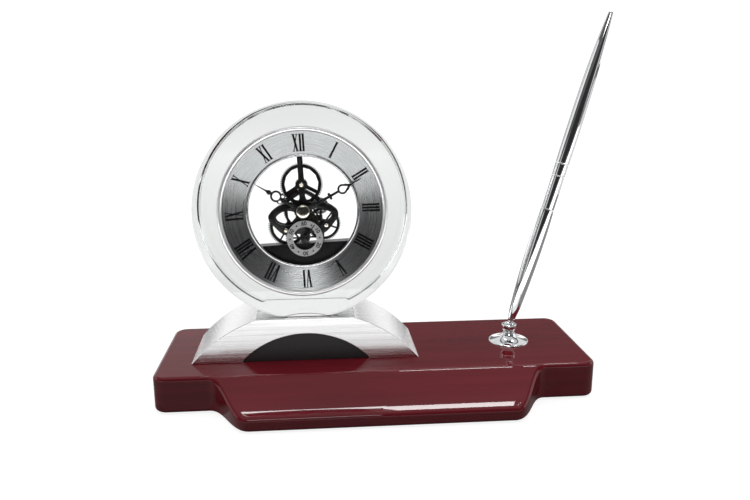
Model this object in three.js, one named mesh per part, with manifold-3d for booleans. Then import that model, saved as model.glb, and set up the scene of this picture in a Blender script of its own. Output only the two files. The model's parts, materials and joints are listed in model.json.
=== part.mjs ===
import * as THREE from 'three';
import { mergeVertices } from 'three/addons/utils/BufferGeometryUtils.js';
import Module from 'manifold-3d';

const wasm = await Module();
wasm.setup();

// A desk clock set: a lacquered wooden base, an aluminium arch, a round crystal disc that leans back
// and holds a skeleton clock insert, and a swivel holder with a pen.
// Lengths are in millimetres, X to the right, Y to the back and Z up. The origin is the middle of
// the underside. The clock insert is modelled upright in its own frame: X to the right, Y into the
// disc and Z up, with its origin in the disc's front face on the dial's axis.

// Clearances that all pieces share
const seatGap = 0.3;
const cutOverrun = 2;
const weldDistance = 0.0001;

// Numbers of steps on round pieces
const largeRoundSteps = 40;
const mediumRoundSteps = 16;
const smallRoundSteps = 10;
const arcSteps = 4;

// Wooden base
const baseWidth = 230;
const baseDepth = 98;
const baseThickness = 19.2;
const baseEdgeRadius = 2;
const baseEdgeSteps = 2;
const baseCornerRadius = 7;
const blockSetback = 24;
const blockWidth = 27;
const tongueFlare = 22;
const tongueInnerPullShare = 0.41;
const tongueOuterPullShare = 0.39;
const lipHeight = 7.2;
const rampStartSetback = 23.7;
const rampUpperReachShare = 0.3;
const rampUpperDropShare = 0.36;
const rampLowerReachShare = 0.72;
const rampLowerDropShare = 0.87;

// Felt pad under the base
const feltThickness = 0.8;
const feltInset = 4;

// Aluminium arch
const archSetIn = 77.5;
const archFrontSetback = 41;
const archDepth = 44;
const archHalfChord = 60;
const archOuterRadius = 79;
const archFlatHalfWidth = 25.15;
const tunnelHalfChord = 34.2;
const tunnelHeight = 15.1;
const archArcSteps = 12;
const panelThickness = 1.5;
const panelRecess = 0.8;

// Screws that hold the arch from below
const archScrewSpread = 47;
const archScrewRadius = 2;
const archScrewReach = 8.2;
const screwHeadRadius = 4.2;
const screwHeadHeight = 3;
const counterboreDepth = 5.5;
const screwSlotWidth = 1.2;
const screwSlotDepth = 1.2;

// Crystal disc
const discRadius = 56.6;
const discThickness = 38;
const discEdgeChamfer = 1;
const discLean = 5.5;
const discFrontMargin = 3;
const discCentreHeight = 54.6;
const boreRadius = 43.2;
const boreChamfer = 0.5;

// Clock insert: case, bezel, lens and covers
const insertTurn = 2.6;
const bezelOverlap = 0.8;
const bezelInset = 2.4;
const bezelProud = 1.5;
const bezelRound = 0.5;
const bezelLip = 0.6;
const caseWall = 0.9;
const caseDepth = 20;
const gasketGrooveDepth = 0.6;
const gasketWidth = 3;
const gasketFront = 10;
const gasketThickness = 0.5;
const lensThickness = 1.2;
const rearCoverThickness = 1.2;
const rearSpigotDepth = 1.4;
const rearSpigotWall = 0.7;

// Chapter ring, a shallow dish round the open movement
const dialOpeningRadius = 28.3;
const dialRimWidth = 1.6;
const dialRimHeight = 0.5;
const dialDish = 4.6;
const dialThickness = 0.8;

// Hands
const handThickness = 0.5;
const handGap = 0.4;
const capRadius = 3.4;
const capHeight = 1;
const capDomeSteps = 5;
const minuteHandLength = 34.5;
const hourHandLength = 27.7;
const secondHandLength = 7.9;
const minuteHandAngle = 63.8;
const hourHandAngle = -56.9;
const secondHandAngle = 40.7;
const handHubRadius = 2.9;
const handStemWidth = 1.1;
const handPointWidth = 0.3;
const handRingWall = 0.65;
const hourRingRadius = 3.2;
const hourRingPlaceShare = 0.563;
const hourLoopRadius = 1.45;
const hourLoopPlaceShare = 0.465;
const hourLoopSpread = 1.55;
const hourDiamondWidth = 2.6;
const hourDiamondPlaceShare = 0.735;
const minuteRingRadius = 2.25;
const minuteRingPlaceShare = 0.68;
const minuteTeardropLength = 4.2;
const minuteLobeRadius = 0.55;
const minuteLobePlaceShare = 0.77;
const minuteLobeSpread = 1.15;
const minuteCrossPlaceShare = 0.47;
const minuteCrossSpan = 3.6;
const minuteCrossWidth = 0.8;
const secondHandWidth = 0.6;
const secondHandTail = 2.6;
const secondHubRadius = 1.4;
const secondHubLength = 1.4;

// Wheel teeth, in shares of the module across the pitch line and of the pitch along it
const addendumShare = 0.85;
const wheelRootShare = 1.6;
const pinionRootShare = 1.15;
const pinionLeafShare = 0.38;

// Going train: seconds wheel, third wheel, centre wheel, top wheel, intermediate wheel and rotor
const centreModule = 0.342;
const centreTeeth = 60;
const thirdPinionTeeth = 9;
const topPinionTeeth = 20;
const thirdModule = 0.262;
const thirdTeeth = 72;
const secondsPinionTeeth = 8;
const secondsModule = 0.32;
const secondsTeeth = 60;
const intermediatePinionTeeth = 16;
const rotorModule = 0.264;
const intermediateTeeth = 64;
const rotorTeeth = 8;
const topModule = 0.2833;
const topTeeth = 72;
const secondsDrop = 14.4;
const intermediateReach = 13.04;
const rotorBearing = 97;

// Motion work between the minute and hour hands
const motionModule = 0.3;
const cannonTeeth = 10;
const minuteWheelTeeth = 30;
const minutePinionTeeth = 8;
const hourTeeth = 32;
const motionBearing = -60;

// Thicknesses, rims and arbors of the wheels
const wheelThickness = 0.7;
const pinionOverlap = 0.2;
const rimWidth = 0.8;
const spokeWidth = 0.9;
const topSpokeWidth = 2;
const centreSpokes = { count: 4, first: 45 };
const thirdSpokes = { count: 5, first: 20 };
const secondsSpokes = { count: 4, first: 0 };
const intermediateSpokes = { count: 5, first: 50 };
const topSpokes = { count: 3, first: 90 };
const wheelHubRadius = 2.2;
const layerGap = 0.6;
const centreArborRadius = 0.9;
const arborRadius = 0.6;
const studRadius = 0.5;
const slimStudRadius = 0.35;
const slimBoreGap = 0.2;
const hourTubeWall = 0.5;

// Front and back plates of the movement, outlined in shares of their half width
const plateHalfWidth = 18.4;
const plateThickness = 1.4;
const backPlateThickness = 1;
const plateSpacing = 8.6;
const plateBarWidth = 2.8;
const plateBossRadius = 2.8;
const plateHubRadius = 2.75;
const studBossRadius = 2.1;
const plateCurveSteps = 2;
const plateOutlineShares = [
  [0.08, 0.65], [0.077, 0.39], [0.115, 0.28], [0.24, 0.235], [0.5, 0.22], [0.73, 0.14], [0.9, 0.025],
  [1, -0.09], [0.98, -0.24], [0.85, -0.41], [0.7, -0.58], [0.52, -0.69], [0.3, -0.65], [0.12, -0.67],
];
const eyeCutShares = [
  [0.25, 0.02], [0.49, 0.045], [0.7, -0.01], [0.815, -0.14], [0.79, -0.27], [0.67, -0.36], [0.49, -0.39],
  [0.34, -0.375], [0.22, -0.21],
];
const topPillarMargin = 1.28;
const pillarRadius = 1.2;
const plateScrewRadius = 1.15;
const plateScrewHeight = 0.6;
const plateScrewPinRadius = 0.45;
const plateScrewPinDepth = 0.6;
const leftScrewReach = 9.6;
const leftScrewDrop = 9.8;
const rightScrewReach = 11.7;
const rightScrewDrop = 8.3;

// Seconds dial
const secondsDialRadius = 9.5;
const secondsDialOpening = 6.3;
const secondsDialThickness = 0.6;
const secondsPostRadius = 0.6;
const secondsPostBearings = [30, 150, 270];

// Battery box, battery and contacts
const boxTopDrop = 17.4;
const boxWall = 1.2;
const boxDepth = 10.6;
const boxSlotMargin = 0.6;
const batteryRadius = 5.25;
const batteryLength = 43.5;
const batteryNubRadius = 1.9;
const batteryNubLength = 0.8;
const batteryDrop = 28.2;
const contactThickness = 0.4;
const contactHeight = 8;
const contactDepth = 7;
const doorMargin = 0.2;

// Motor: stator, coil, rotor and circuit module
const statorThickness = 0.8;
const statorArmWidth = 2.4;
const coreWidth = 1.6;
const rotorRadius = 2.4;
const rotorLength = 1.2;
const statorEyeWall = 1.5;
const coilReach = 9.6;
const coilBearing = 121;
const coilTilt = 30;
const coilLength = 7.4;
const coilRadius = 1.95;
const coilTubeRadius = 1.3;
const coilFlangeRadius = 2.1;
const coilFlangeThickness = 0.5;
const windingGap = 0.15;
const circuitWidth = 3.6;
const circuitHeight = 3.2;
const circuitDepth = 2.4;
const circuitX = 8.2;
const circuitDrop = 5.1;

// Setting knob
const knobRadius = 5;
const knobLength = 4.4;
const knobFlutes = 18;
const knobFluteDepth = 0.35;

// Pen holder: dome, cup, seat and ball
const holderSetIn = 38.1;
const holderSetback = 60.6;
const domeRadius = 11;
const domeRim = 0.7;
const domeHeight = 4.9;
const domeCollarRadius = 3.3;
const domeCrownRadius = 5.4;
const domeCrownHeight = 2.3;
const domeSlopeRadius = 8.4;
const domeSlopeHeight = 1.2;
const domeThickness = 0.7;
const cupStemRadius = 2.5;
const cupWaistRadius = 2.7;
const cupWaistHeight = 5.4;
const cupBellyRadius = 4.05;
const cupBellyHeight = 7.6;
const cupRadius = 4.2;
const cupHeight = 10.1;
const cupLipRadius = 2.86;
const cupLipThickness = 0.35;
const ballRadius = 2.9;
const ballHeight = 8.6;
const ballSteps = 8;
const seatRadius = 1.7;
const seatThickness = 0.6;
const nutRadius = 4.4;
const nutHeight = 2.4;
const nutSides = 6;
const washerRadius = 4.8;
const washerThickness = 0.8;

// Pen, measured along its axis from the middle of the ball
const penLean = 15.3;
const penPointReach = 1.7;
const penPointRadius = 1.15;
const penPointTipRadius = 0.5;
const penNoseStart = 3.2;
const penNoseRadius = 1.55;
const penBarrelStart = 4.6;
const penBarrelStartRadius = 1.95;
const penBellyPlace = 55;
const penBellyRadius = 4.1;
const penSleeveStart = 69.8;
const penSleeveRadius = 3.65;
const penBandStart = 88.6;
const penBandRadius = 3.8;
const penUpperStart = 95.4;
const penUpperRadius = 3.9;
const penEnd = 176.1;
const penEndRadius = 1.25;
const penWall = 0.8;
const penRefillRadius = 1.45;
const penRefillEnd = 101;
const penSpigotLength = 2.4;
const penUpperBoreEnd = 120;
// Each pair is a share of the piece's length and a share of its swell between its two end radii
const penBarrelSwellShares = [[0.09, 0.37], [0.19, 0.55], [0.37, 0.8], [0.6, 0.98], [0.82, 1], [0.95, 0.9], [1, 0.82]];
const penUpperTaperShares = [[0.1, 1.01], [0.3, 0.965], [0.5, 0.86], [0.7, 0.655], [0.88, 0.33]];

// Materials: colour, roughness and metalness
const finishes = {
  rosewood: [0x5a1418, 0.12, 0],
  felt: [0x1c1c1e, 0.95, 0],
  brushedAluminium: [0xc9cbcc, 0.38, 1],
  blackPanel: [0x262425, 0.55, 0],
  steel: [0x9a9da1, 0.35, 1],
  crystal: [0xe9efec, 0.03, 0],
  chrome: [0xdadde0, 0.06, 1],
  satinSilver: [0x9fa3a6, 0.33, 1],
  clearPlastic: [0xeef2f2, 0.05, 0],
  blackMetal: [0x1b1a1a, 0.42, 0.4],
  nickel: [0xb9b2a4, 0.2, 1],
  copper: [0x8c4a2c, 0.4, 0.7],
  magnet: [0x4a4b50, 0.3, 0.8],
  blackPlastic: [0x151515, 0.6, 0],
  rubber: [0xd8dad8, 0.6, 0],
  battery: [0x3f4347, 0.35, 0.3],
  board: [0x1e3a2b, 0.6, 0],
};

function finish(name) {
  const [color, roughness, metalness] = finishes[name];
  return new THREE.MeshStandardMaterial({ color, roughness, metalness });
}

// Shape helpers

function radians(angle) {
  return THREE.MathUtils.degToRad(angle);
}

// The other leg of a right triangle with the given long side and leg
function legOf(longSide, leg) {
  return Math.sqrt(longSide * longSide - leg * leg);
}

function arc(x, y, radius, from, to, steps) {
  return Array.from({ length: steps + 1 }, (_, i) => {
    const angle = from + ((to - from) * i) / steps;
    return [x + radius * Math.cos(angle), y + radius * Math.sin(angle)];
  });
}

function round(x, y, radius, steps) {
  return arc(x, y, radius, 0, 2 * Math.PI, steps).slice(0, -1);
}

function shapeOf(points, holes = []) {
  const shape = new THREE.Shape(points.map(([x, y]) => new THREE.Vector2(x, y)));
  shape.holes = holes.map((hole) => new THREE.Path(hole.map(([x, y]) => new THREE.Vector2(x, y))));
  return shape;
}

function smoothLoop(points, stepsPerPoint) {
  const knots = points.map(([x, y]) => new THREE.Vector3(x, y, 0));
  const curve = new THREE.CatmullRomCurve3(knots, true);
  const loop = curve.getPoints(points.length * stepsPerPoint);
  return loop.slice(0, -1).map((point) => [point.x, point.y]);
}

function volumeOf(positions, corners) {
  const [a, b, c] = [new THREE.Vector3(), new THREE.Vector3(), new THREE.Vector3()];
  let volume = 0;
  for (let i = 0; i < corners.length; i += 3) {
    a.fromArray(positions, 3 * corners[i]);
    b.fromArray(positions, 3 * corners[i + 1]);
    c.fromArray(positions, 3 * corners[i + 2]);
    volume += a.dot(b.cross(c)) / 6;
  }
  return volume;
}

// A closed mesh becomes a solid for cutting and joining
function solidOf(geometry) {
  const bare = new THREE.BufferGeometry();
  bare.setAttribute('position', geometry.attributes.position);
  if (geometry.index) {
    bare.setIndex(geometry.index);
  }
  const welded = mergeVertices(bare, weldDistance);
  const vertProperties = Float32Array.from(welded.attributes.position.array);
  const corners = [];
  for (let i = 0; i < welded.index.count; i += 3) {
    const [a, b, c] = [0, 1, 2].map((k) => welded.index.getX(i + k));
    if (a !== b && b !== c && c !== a) {
      corners.push(a, b, c);
    }
  }
  if (volumeOf(vertProperties, corners) < 0) {
    corners.reverse();
  }
  const triVerts = Uint32Array.from(corners);
  return new wasm.Manifold(new wasm.Mesh({ numProp: 3, vertProperties, triVerts }));
}

function geometryOf(solid) {
  const { vertProperties, triVerts } = solid.getMesh();
  const geometry = new THREE.BufferGeometry();
  geometry.setAttribute('position', new THREE.BufferAttribute(Float32Array.from(vertProperties), 3));
  geometry.setIndex(new THREE.BufferAttribute(Uint32Array.from(triVerts), 1));
  geometry.computeVertexNormals();
  return geometry;
}

function joined(...solids) {
  return solids.reduce((whole, solid) => whole.add(solid));
}

function cut(solid, ...cutters) {
  return cutters.reduce((rest, cutter) => rest.subtract(cutter), solid);
}

// A flat outline in X and Y that rises along Z
function upright(shape, low, high) {
  const options = { depth: high - low, bevelEnabled: false, curveSegments: arcSteps };
  const geometry = new THREE.ExtrudeGeometry(shape, options);
  return solidOf(geometry.translate(0, 0, low));
}

// A flat outline in X and Z, as seen from the front, that runs back along Y
function slab(shape, front, back) {
  const geometry = new THREE.ExtrudeGeometry(shape, { depth: back - front, bevelEnabled: false });
  return solidOf(geometry.rotateX(Math.PI / 2).translate(0, back, 0));
}

// A profile of radius and depth, turned round the Y axis
function turned(profile, steps) {
  const points = profile.map(([radius, depth]) => new THREE.Vector2(radius, depth));
  return solidOf(new THREE.LatheGeometry(points, steps));
}

function turnedRing(profile, steps) {
  return turned([...profile, profile[0]], steps);
}

// A profile of radius and height, turned round the Z axis
function turnedUp(profile, steps) {
  const points = profile.map(([radius, height]) => new THREE.Vector2(radius, height));
  return solidOf(new THREE.LatheGeometry(points, steps).rotateX(Math.PI / 2));
}

function rod(x, z, radius, front, back, steps = smallRoundSteps) {
  const geometry = new THREE.CylinderGeometry(radius, radius, back - front, steps);
  return solidOf(geometry.translate(x, (front + back) / 2, z));
}

function column(x, y, radius, low, high, steps = mediumRoundSteps) {
  const geometry = new THREE.CylinderGeometry(radius, radius, high - low, steps).rotateX(Math.PI / 2);
  return solidOf(geometry.translate(x, y, (low + high) / 2));
}

function block(lowX, highX, lowY, highY, lowZ, highZ) {
  const geometry = new THREE.BoxGeometry(highX - lowX, highY - lowY, highZ - lowZ);
  return solidOf(geometry.translate((lowX + highX) / 2, (lowY + highY) / 2, (lowZ + highZ) / 2));
}

function moved(solid, matrix) {
  return solidOf(geometryOf(solid).applyMatrix4(matrix));
}

function place(parent, name, solid, finishName) {
  const mesh = new THREE.Mesh(geometryOf(solid), finish(finishName));
  mesh.name = name;
  parent.add(mesh);
  return mesh;
}

const group = new THREE.Group();

// Heights and places that follow from the sizes

const baseBottom = feltThickness;
const baseTop = baseBottom + baseThickness;
const baseBack = baseDepth / 2;
const baseFront = -baseDepth / 2;
const blockFront = baseFront + blockSetback;
const bezelOuterRadius = boreRadius + bezelOverlap;
const bezelInnerRadius = boreRadius - bezelInset;
const archX = -baseWidth / 2 + archSetIn;
const archFront = baseFront + archFrontSetback;
const archBack = archFront + archDepth;
const archMiddle = (archFront + archBack) / 2;
const archTop = baseTop + legOf(archOuterRadius, archFlatHalfWidth) - legOf(archOuterRadius, archHalfChord);
const discFlat = archTop + seatGap;
const discCentreZ = discFlat + discCentreHeight;
const lean = radians(discLean);
const discFrontY = archFront + discFrontMargin + discCentreHeight * Math.tan(lean);
const holderX = baseWidth / 2 - holderSetIn;
const holderY = baseFront + holderSetback;

// Wooden base

// The plan steps forward from the side blocks to the tongue through an S-shaped curve
function basePlan(inset) {
  const right = baseWidth / 2 - inset;
  const back = baseBack - inset;
  const front = baseFront + inset;
  const shoulder = blockFront + inset;
  const corner = baseCornerRadius - inset;
  const flare = baseWidth / 2 - blockWidth - inset;
  const tongue = flare - tongueFlare;
  const shape = new THREE.Shape();
  shape.moveTo(-tongue, front);
  shape.lineTo(tongue, front);
  shape.bezierCurveTo(
    tongue + tongueFlare * tongueOuterPullShare, front,
    flare - tongueFlare * tongueInnerPullShare, shoulder,
    flare, shoulder,
  );
  shape.lineTo(right - corner, shoulder);
  shape.absarc(right - corner, shoulder + corner, corner, -Math.PI / 2, 0);
  shape.absarc(right - corner, back - corner, corner, 0, Math.PI / 2);
  shape.absarc(-right + corner, back - corner, corner, Math.PI / 2, Math.PI);
  shape.absarc(-right + corner, shoulder + corner, corner, Math.PI, (3 * Math.PI) / 2);
  shape.lineTo(-flare, shoulder);
  shape.bezierCurveTo(
    -flare + tongueFlare * tongueInnerPullShare, shoulder,
    -tongue - tongueFlare * tongueOuterPullShare, front,
    -tongue, front,
  );
  return shape;
}

// The ramp falls from the top face to the lip along a slightly hollow curve
function rampCutter() {
  const rampBack = baseFront + rampStartSetback;
  const drop = baseThickness - lipHeight;
  const profile = new THREE.Shape();
  profile.moveTo(rampBack, baseTop + cutOverrun);
  profile.lineTo(rampBack, baseTop);
  profile.bezierCurveTo(
    rampBack - rampStartSetback * rampUpperReachShare, baseTop - drop * rampUpperDropShare,
    rampBack - rampStartSetback * rampLowerReachShare, baseTop - drop * rampLowerDropShare,
    baseFront, baseTop - drop,
  );
  profile.lineTo(baseFront - cutOverrun, baseTop - drop);
  profile.lineTo(baseFront - cutOverrun, baseTop + cutOverrun);
  const geometry = new THREE.ExtrudeGeometry(profile, { depth: baseWidth, bevelEnabled: false, curveSegments: arcSteps });
  const turn = new THREE.Matrix4().makeBasis(
    new THREE.Vector3(0, 1, 0), new THREE.Vector3(0, 0, 1), new THREE.Vector3(1, 0, 0),
  );
  return solidOf(geometry.applyMatrix4(turn).translate(-baseWidth / 2, 0, 0));
}

function woodenBase() {
  const geometry = new THREE.ExtrudeGeometry(basePlan(baseEdgeRadius), {
    depth: baseThickness - 2 * baseEdgeRadius,
    bevelThickness: baseEdgeRadius,
    bevelSize: baseEdgeRadius,
    bevelSegments: baseEdgeSteps,
    curveSegments: arcSteps,
  });
  const body = solidOf(geometry.translate(0, 0, baseBottom + baseEdgeRadius));
  const low = baseBottom - cutOverrun;
  const holes = [];
  for (const side of [-1, 1]) {
    const x = archX + side * archScrewSpread;
    holes.push(column(x, archMiddle, screwHeadRadius + seatGap, low, baseBottom + counterboreDepth));
    holes.push(column(x, archMiddle, archScrewRadius + seatGap, low, baseTop + cutOverrun));
  }
  holes.push(column(holderX, holderY, washerRadius + seatGap, low, baseBottom + counterboreDepth));
  holes.push(column(holderX, holderY, cupStemRadius + seatGap, low, baseTop + cutOverrun));
  return cut(body, rampCutter(), ...holes);
}

place(group, 'wooden_base', woodenBase(), 'rosewood');
place(group, 'felt_pad', upright(basePlan(feltInset), 0, feltThickness), 'felt');

// Aluminium arch

// The arc through both feet of a chord at the base's top face, as points from right to left, with
// a flat across its crown if the flat's half width is given
function chordArc(halfChord, radius, steps, flatHalfWidth = 0) {
  const middle = baseTop - legOf(radius, halfChord);
  const footAngle = Math.asin(halfChord / radius);
  const flatAngle = Math.asin(flatHalfWidth / radius);
  const right = arc(archX, middle, radius, Math.PI / 2 - footAngle, Math.PI / 2 - flatAngle, steps);
  const left = arc(archX, middle, radius, Math.PI / 2 + flatAngle, Math.PI / 2 + footAngle, steps);
  return flatHalfWidth > 0 ? [...right, ...left] : [...right, ...left.slice(1)];
}

// The radius of the arc over a chord that rises by the given height
function chordRadius(halfChord, height) {
  return (halfChord * halfChord + height * height) / (2 * height);
}

function archBody() {
  const outer = chordArc(archHalfChord, archOuterRadius, archArcSteps, archFlatHalfWidth);
  const tunnel = chordArc(tunnelHalfChord, chordRadius(tunnelHalfChord, tunnelHeight), archArcSteps);
  const body = slab(shapeOf([...outer, ...tunnel.reverse()]), archFront, archBack);
  const holes = [-1, 1].map((side) => column(
    archX + side * archScrewSpread, archMiddle, archScrewRadius + seatGap,
    baseTop - cutOverrun, baseTop + archScrewReach + seatGap,
  ));
  return cut(body, ...holes);
}

function archPanel() {
  const halfChord = tunnelHalfChord - 2 * seatGap;
  const outline = chordArc(halfChord, chordRadius(halfChord, tunnelHeight - seatGap), archArcSteps);
  const front = archFront + panelRecess;
  return slab(shapeOf(outline), front, front + panelThickness);
}

function archScrew(x) {
  const headLow = baseBottom + counterboreDepth - seatGap - screwHeadHeight;
  const headHigh = headLow + screwHeadHeight;
  const screw = joined(
    column(x, archMiddle, screwHeadRadius, headLow, headHigh),
    column(x, archMiddle, archScrewRadius, headLow, baseTop + archScrewReach, smallRoundSteps),
  );
  const slotHalf = screwSlotWidth / 2;
  const slot = block(
    x - screwHeadRadius - cutOverrun, x + screwHeadRadius + cutOverrun,
    archMiddle - slotHalf, archMiddle + slotHalf, headLow - cutOverrun, headLow + screwSlotDepth,
  );
  return cut(screw, slot);
}

place(group, 'aluminium_arch', archBody(), 'brushedAluminium');
place(group, 'arch_panel', archPanel(), 'blackPanel');
place(group, 'arch_screw_left', archScrew(archX - archScrewSpread), 'steel');
place(group, 'arch_screw_right', archScrew(archX + archScrewSpread), 'steel');

// Crystal disc, in a frame that leans back with it

const discFrame = new THREE.Group();
discFrame.position.set(archX, discFrontY, discCentreZ);
discFrame.rotation.x = -lean;
discFrame.updateMatrix();
group.add(discFrame);

function crystalDisc() {
  const rim = discRadius - discEdgeChamfer;
  const mouth = boreRadius + boreChamfer;
  const body = turnedRing([
    [mouth, 0], [rim, 0], [discRadius, discEdgeChamfer],
    [discRadius, discThickness - discEdgeChamfer], [rim, discThickness],
    [mouth, discThickness], [boreRadius, discThickness - boreChamfer], [boreRadius, boreChamfer],
  ], largeRoundSteps);
  const floor = block(
    archX - discRadius, archX + discRadius, archFront - discRadius, archBack + discRadius,
    discFlat - discRadius, discFlat,
  );
  return cut(body, moved(floor, discFrame.matrix.clone().invert()));
}

place(discFrame, 'crystal_disc', crystalDisc(), 'crystal');

// Clock insert, in the disc's frame and turned a little in the bore

const insert = new THREE.Group();
insert.rotation.y = -radians(insertTurn);
discFrame.add(insert);

const caseRadius = boreRadius - seatGap;
const caseInnerRadius = caseRadius - caseWall;
const lensRadius = caseInnerRadius - seatGap;
const lensFront = -bezelProud + bezelLip + seatGap;
const lensBack = lensFront + lensThickness;
const capFront = lensBack + handGap;
const minuteHandFront = capFront + capHeight + seatGap;
const hourHandFront = minuteHandFront + handThickness + handGap;
const secondHandFront = hourHandFront + handThickness + handGap;
const secondsDialFront = secondHandFront + handThickness + handGap;
const hourWheelFront = secondsDialFront + secondsDialThickness + handGap;
const hourWheelBack = hourWheelFront + wheelThickness;
const minuteWheelFront = hourWheelBack + seatGap;
const minuteWheelBack = minuteWheelFront + wheelThickness;
const plateFront = minuteWheelBack + seatGap;
const plateBack = plateFront + plateThickness;
const secondsWheelFront = plateBack + layerGap;
const centreWheelFront = secondsWheelFront + wheelThickness + layerGap;
const thirdWheelFront = centreWheelFront + wheelThickness + layerGap;
const intermediateWheelFront = thirdWheelFront + wheelThickness + layerGap;
const backPlateFront = plateBack + plateSpacing;
const backPlateBack = backPlateFront + backPlateThickness;
const rearCoverFront = caseDepth + seatGap;
const rearCoverBack = rearCoverFront + rearCoverThickness;

function bezel() {
  const front = -bezelProud;
  const lipBack = front + bezelLip;
  return turnedRing([
    [bezelInnerRadius, lipBack], [bezelInnerRadius, front], [bezelOuterRadius - bezelRound, front],
    [bezelOuterRadius, front + bezelRound], [bezelOuterRadius, -seatGap],
    [caseInnerRadius, -seatGap], [caseInnerRadius, lipBack],
  ], largeRoundSteps);
}

function caseShell() {
  const groove = caseRadius - gasketGrooveDepth;
  return turnedRing([
    [caseInnerRadius, 0], [caseRadius, 0], [caseRadius, gasketFront], [groove, gasketFront],
    [groove, gasketFront + gasketWidth], [caseRadius, gasketFront + gasketWidth],
    [caseRadius, caseDepth], [caseInnerRadius, caseDepth],
  ], largeRoundSteps);
}

function gasket() {
  const inner = caseRadius - gasketGrooveDepth + seatGap / 2;
  const outer = inner + gasketThickness;
  return turnedRing([
    [inner, gasketFront + seatGap], [outer, gasketFront + seatGap],
    [outer, gasketFront + gasketWidth - seatGap], [inner, gasketFront + gasketWidth - seatGap],
  ], largeRoundSteps);
}

function lens() {
  return rod(0, 0, lensRadius, lensFront, lensBack, largeRoundSteps);
}

function chapterRing() {
  const front = lensBack + seatGap;
  const rimOuter = dialOpeningRadius + dialRimWidth;
  const slope = dialDish / (lensRadius - dialOpeningRadius);
  const rimDepth = front + slope * (lensRadius - rimOuter);
  const openingDepth = front + dialDish;
  return turnedRing([
    [lensRadius, front], [lensRadius, front + dialThickness],
    [dialOpeningRadius, openingDepth + dialThickness],
    [dialOpeningRadius, rimDepth - dialRimHeight], [rimOuter - dialRimHeight, rimDepth - dialRimHeight],
    [rimOuter, rimDepth],
  ], largeRoundSteps);
}

function batteryOpening(clearance, front, back) {
  const halfLength = batteryLength / 2 + batteryNubLength + doorMargin - clearance;
  const halfHeight = batteryRadius + doorMargin - clearance;
  return block(-halfLength, halfLength, front, back, -batteryDrop - halfHeight, -batteryDrop + halfHeight);
}

function rearCover() {
  const hole = centreArborRadius + seatGap;
  const spigotOuter = caseInnerRadius - seatGap;
  const spigotInner = spigotOuter - rearSpigotWall;
  const spigotFront = rearCoverFront - rearSpigotDepth;
  const disc = turnedRing([
    [hole, rearCoverFront], [spigotInner, rearCoverFront], [spigotInner, spigotFront],
    [spigotOuter, spigotFront], [spigotOuter, rearCoverFront], [caseRadius, rearCoverFront],
    [caseRadius, rearCoverBack], [hole, rearCoverBack],
  ], largeRoundSteps);
  return cut(disc, batteryOpening(0, rearCoverFront - cutOverrun, rearCoverBack + cutOverrun));
}

place(insert, 'bezel', bezel(), 'chrome');
place(insert, 'case_shell', caseShell(), 'satinSilver');
place(insert, 'grip_gasket', gasket(), 'rubber');
place(insert, 'front_lens', lens(), 'clearPlastic');
place(insert, 'chapter_ring', chapterRing(), 'satinSilver');
place(insert, 'rear_cover', rearCover(), 'clearPlastic');
place(insert, 'battery_door', batteryOpening(seatGap, rearCoverFront, rearCoverBack), 'blackPlastic');

// Gear train: places of the axes, seen from the front, as [x, z]

function meshDistance(module, teeth, otherTeeth) {
  return (module * (teeth + otherTeeth)) / 2;
}

function bearingPlace([x, z], distance, bearing) {
  return [x + distance * Math.cos(radians(bearing)), z + distance * Math.sin(radians(bearing))];
}

// The point at given distances from two axes, on the left or right of the line down from the first
function meetingPlace(first, firstDistance, second, secondDistance, side) {
  const span = Math.hypot(second[0] - first[0], second[1] - first[1]);
  const along = (firstDistance ** 2 - secondDistance ** 2 + span ** 2) / (2 * span);
  const across = Math.sqrt(firstDistance ** 2 - along ** 2);
  return [first[0] + side * across, first[1] - along];
}

function bearingOf(from, to) {
  return Math.atan2(to[1] - from[1], to[0] - from[0]);
}

// The phase of a gear that brings its gap opposite a tooth of the gear it meshes with
function meshPhase(from, to, phase, teeth, otherTeeth) {
  const line = bearingOf(from, to);
  const offset = ((phase - line) * teeth) / (2 * Math.PI) + 1 / 2;
  return line + Math.PI - (2 * Math.PI * offset) / otherTeeth;
}

const centreAxis = [0, 0];
const secondsAxis = [0, -secondsDrop];
const thirdAxis = meetingPlace(
  centreAxis, meshDistance(centreModule, centreTeeth, thirdPinionTeeth),
  secondsAxis, meshDistance(thirdModule, thirdTeeth, secondsPinionTeeth), -1,
);
const intermediateAxis = meetingPlace(
  centreAxis, intermediateReach,
  secondsAxis, meshDistance(secondsModule, secondsTeeth, intermediatePinionTeeth), 1,
);
const topAxis = [0, meshDistance(centreModule, centreTeeth, topPinionTeeth)];
const rotorAxis = bearingPlace(
  intermediateAxis, meshDistance(rotorModule, intermediateTeeth, rotorTeeth), rotorBearing,
);
const motionAxis = bearingPlace(centreAxis, meshDistance(motionModule, cannonTeeth, minuteWheelTeeth), motionBearing);

const thirdPinionPhase = meshPhase(centreAxis, thirdAxis, 0, centreTeeth, thirdPinionTeeth);
const topPinionPhase = meshPhase(centreAxis, topAxis, 0, centreTeeth, topPinionTeeth);
const secondsPinionPhase = meshPhase(thirdAxis, secondsAxis, 0, thirdTeeth, secondsPinionTeeth);
const intermediatePinionPhase = meshPhase(secondsAxis, intermediateAxis, 0, secondsTeeth, intermediatePinionTeeth);
const rotorPinionPhase = meshPhase(intermediateAxis, rotorAxis, 0, intermediateTeeth, rotorTeeth);
const minuteWheelPhase = meshPhase(centreAxis, motionAxis, 0, cannonTeeth, minuteWheelTeeth);
const hourWheelPhase = meshPhase(motionAxis, centreAxis, 0, minutePinionTeeth, hourTeeth);

function polar([x, z], radius, angle) {
  return [x + radius * Math.cos(angle), z + radius * Math.sin(angle)];
}

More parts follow.
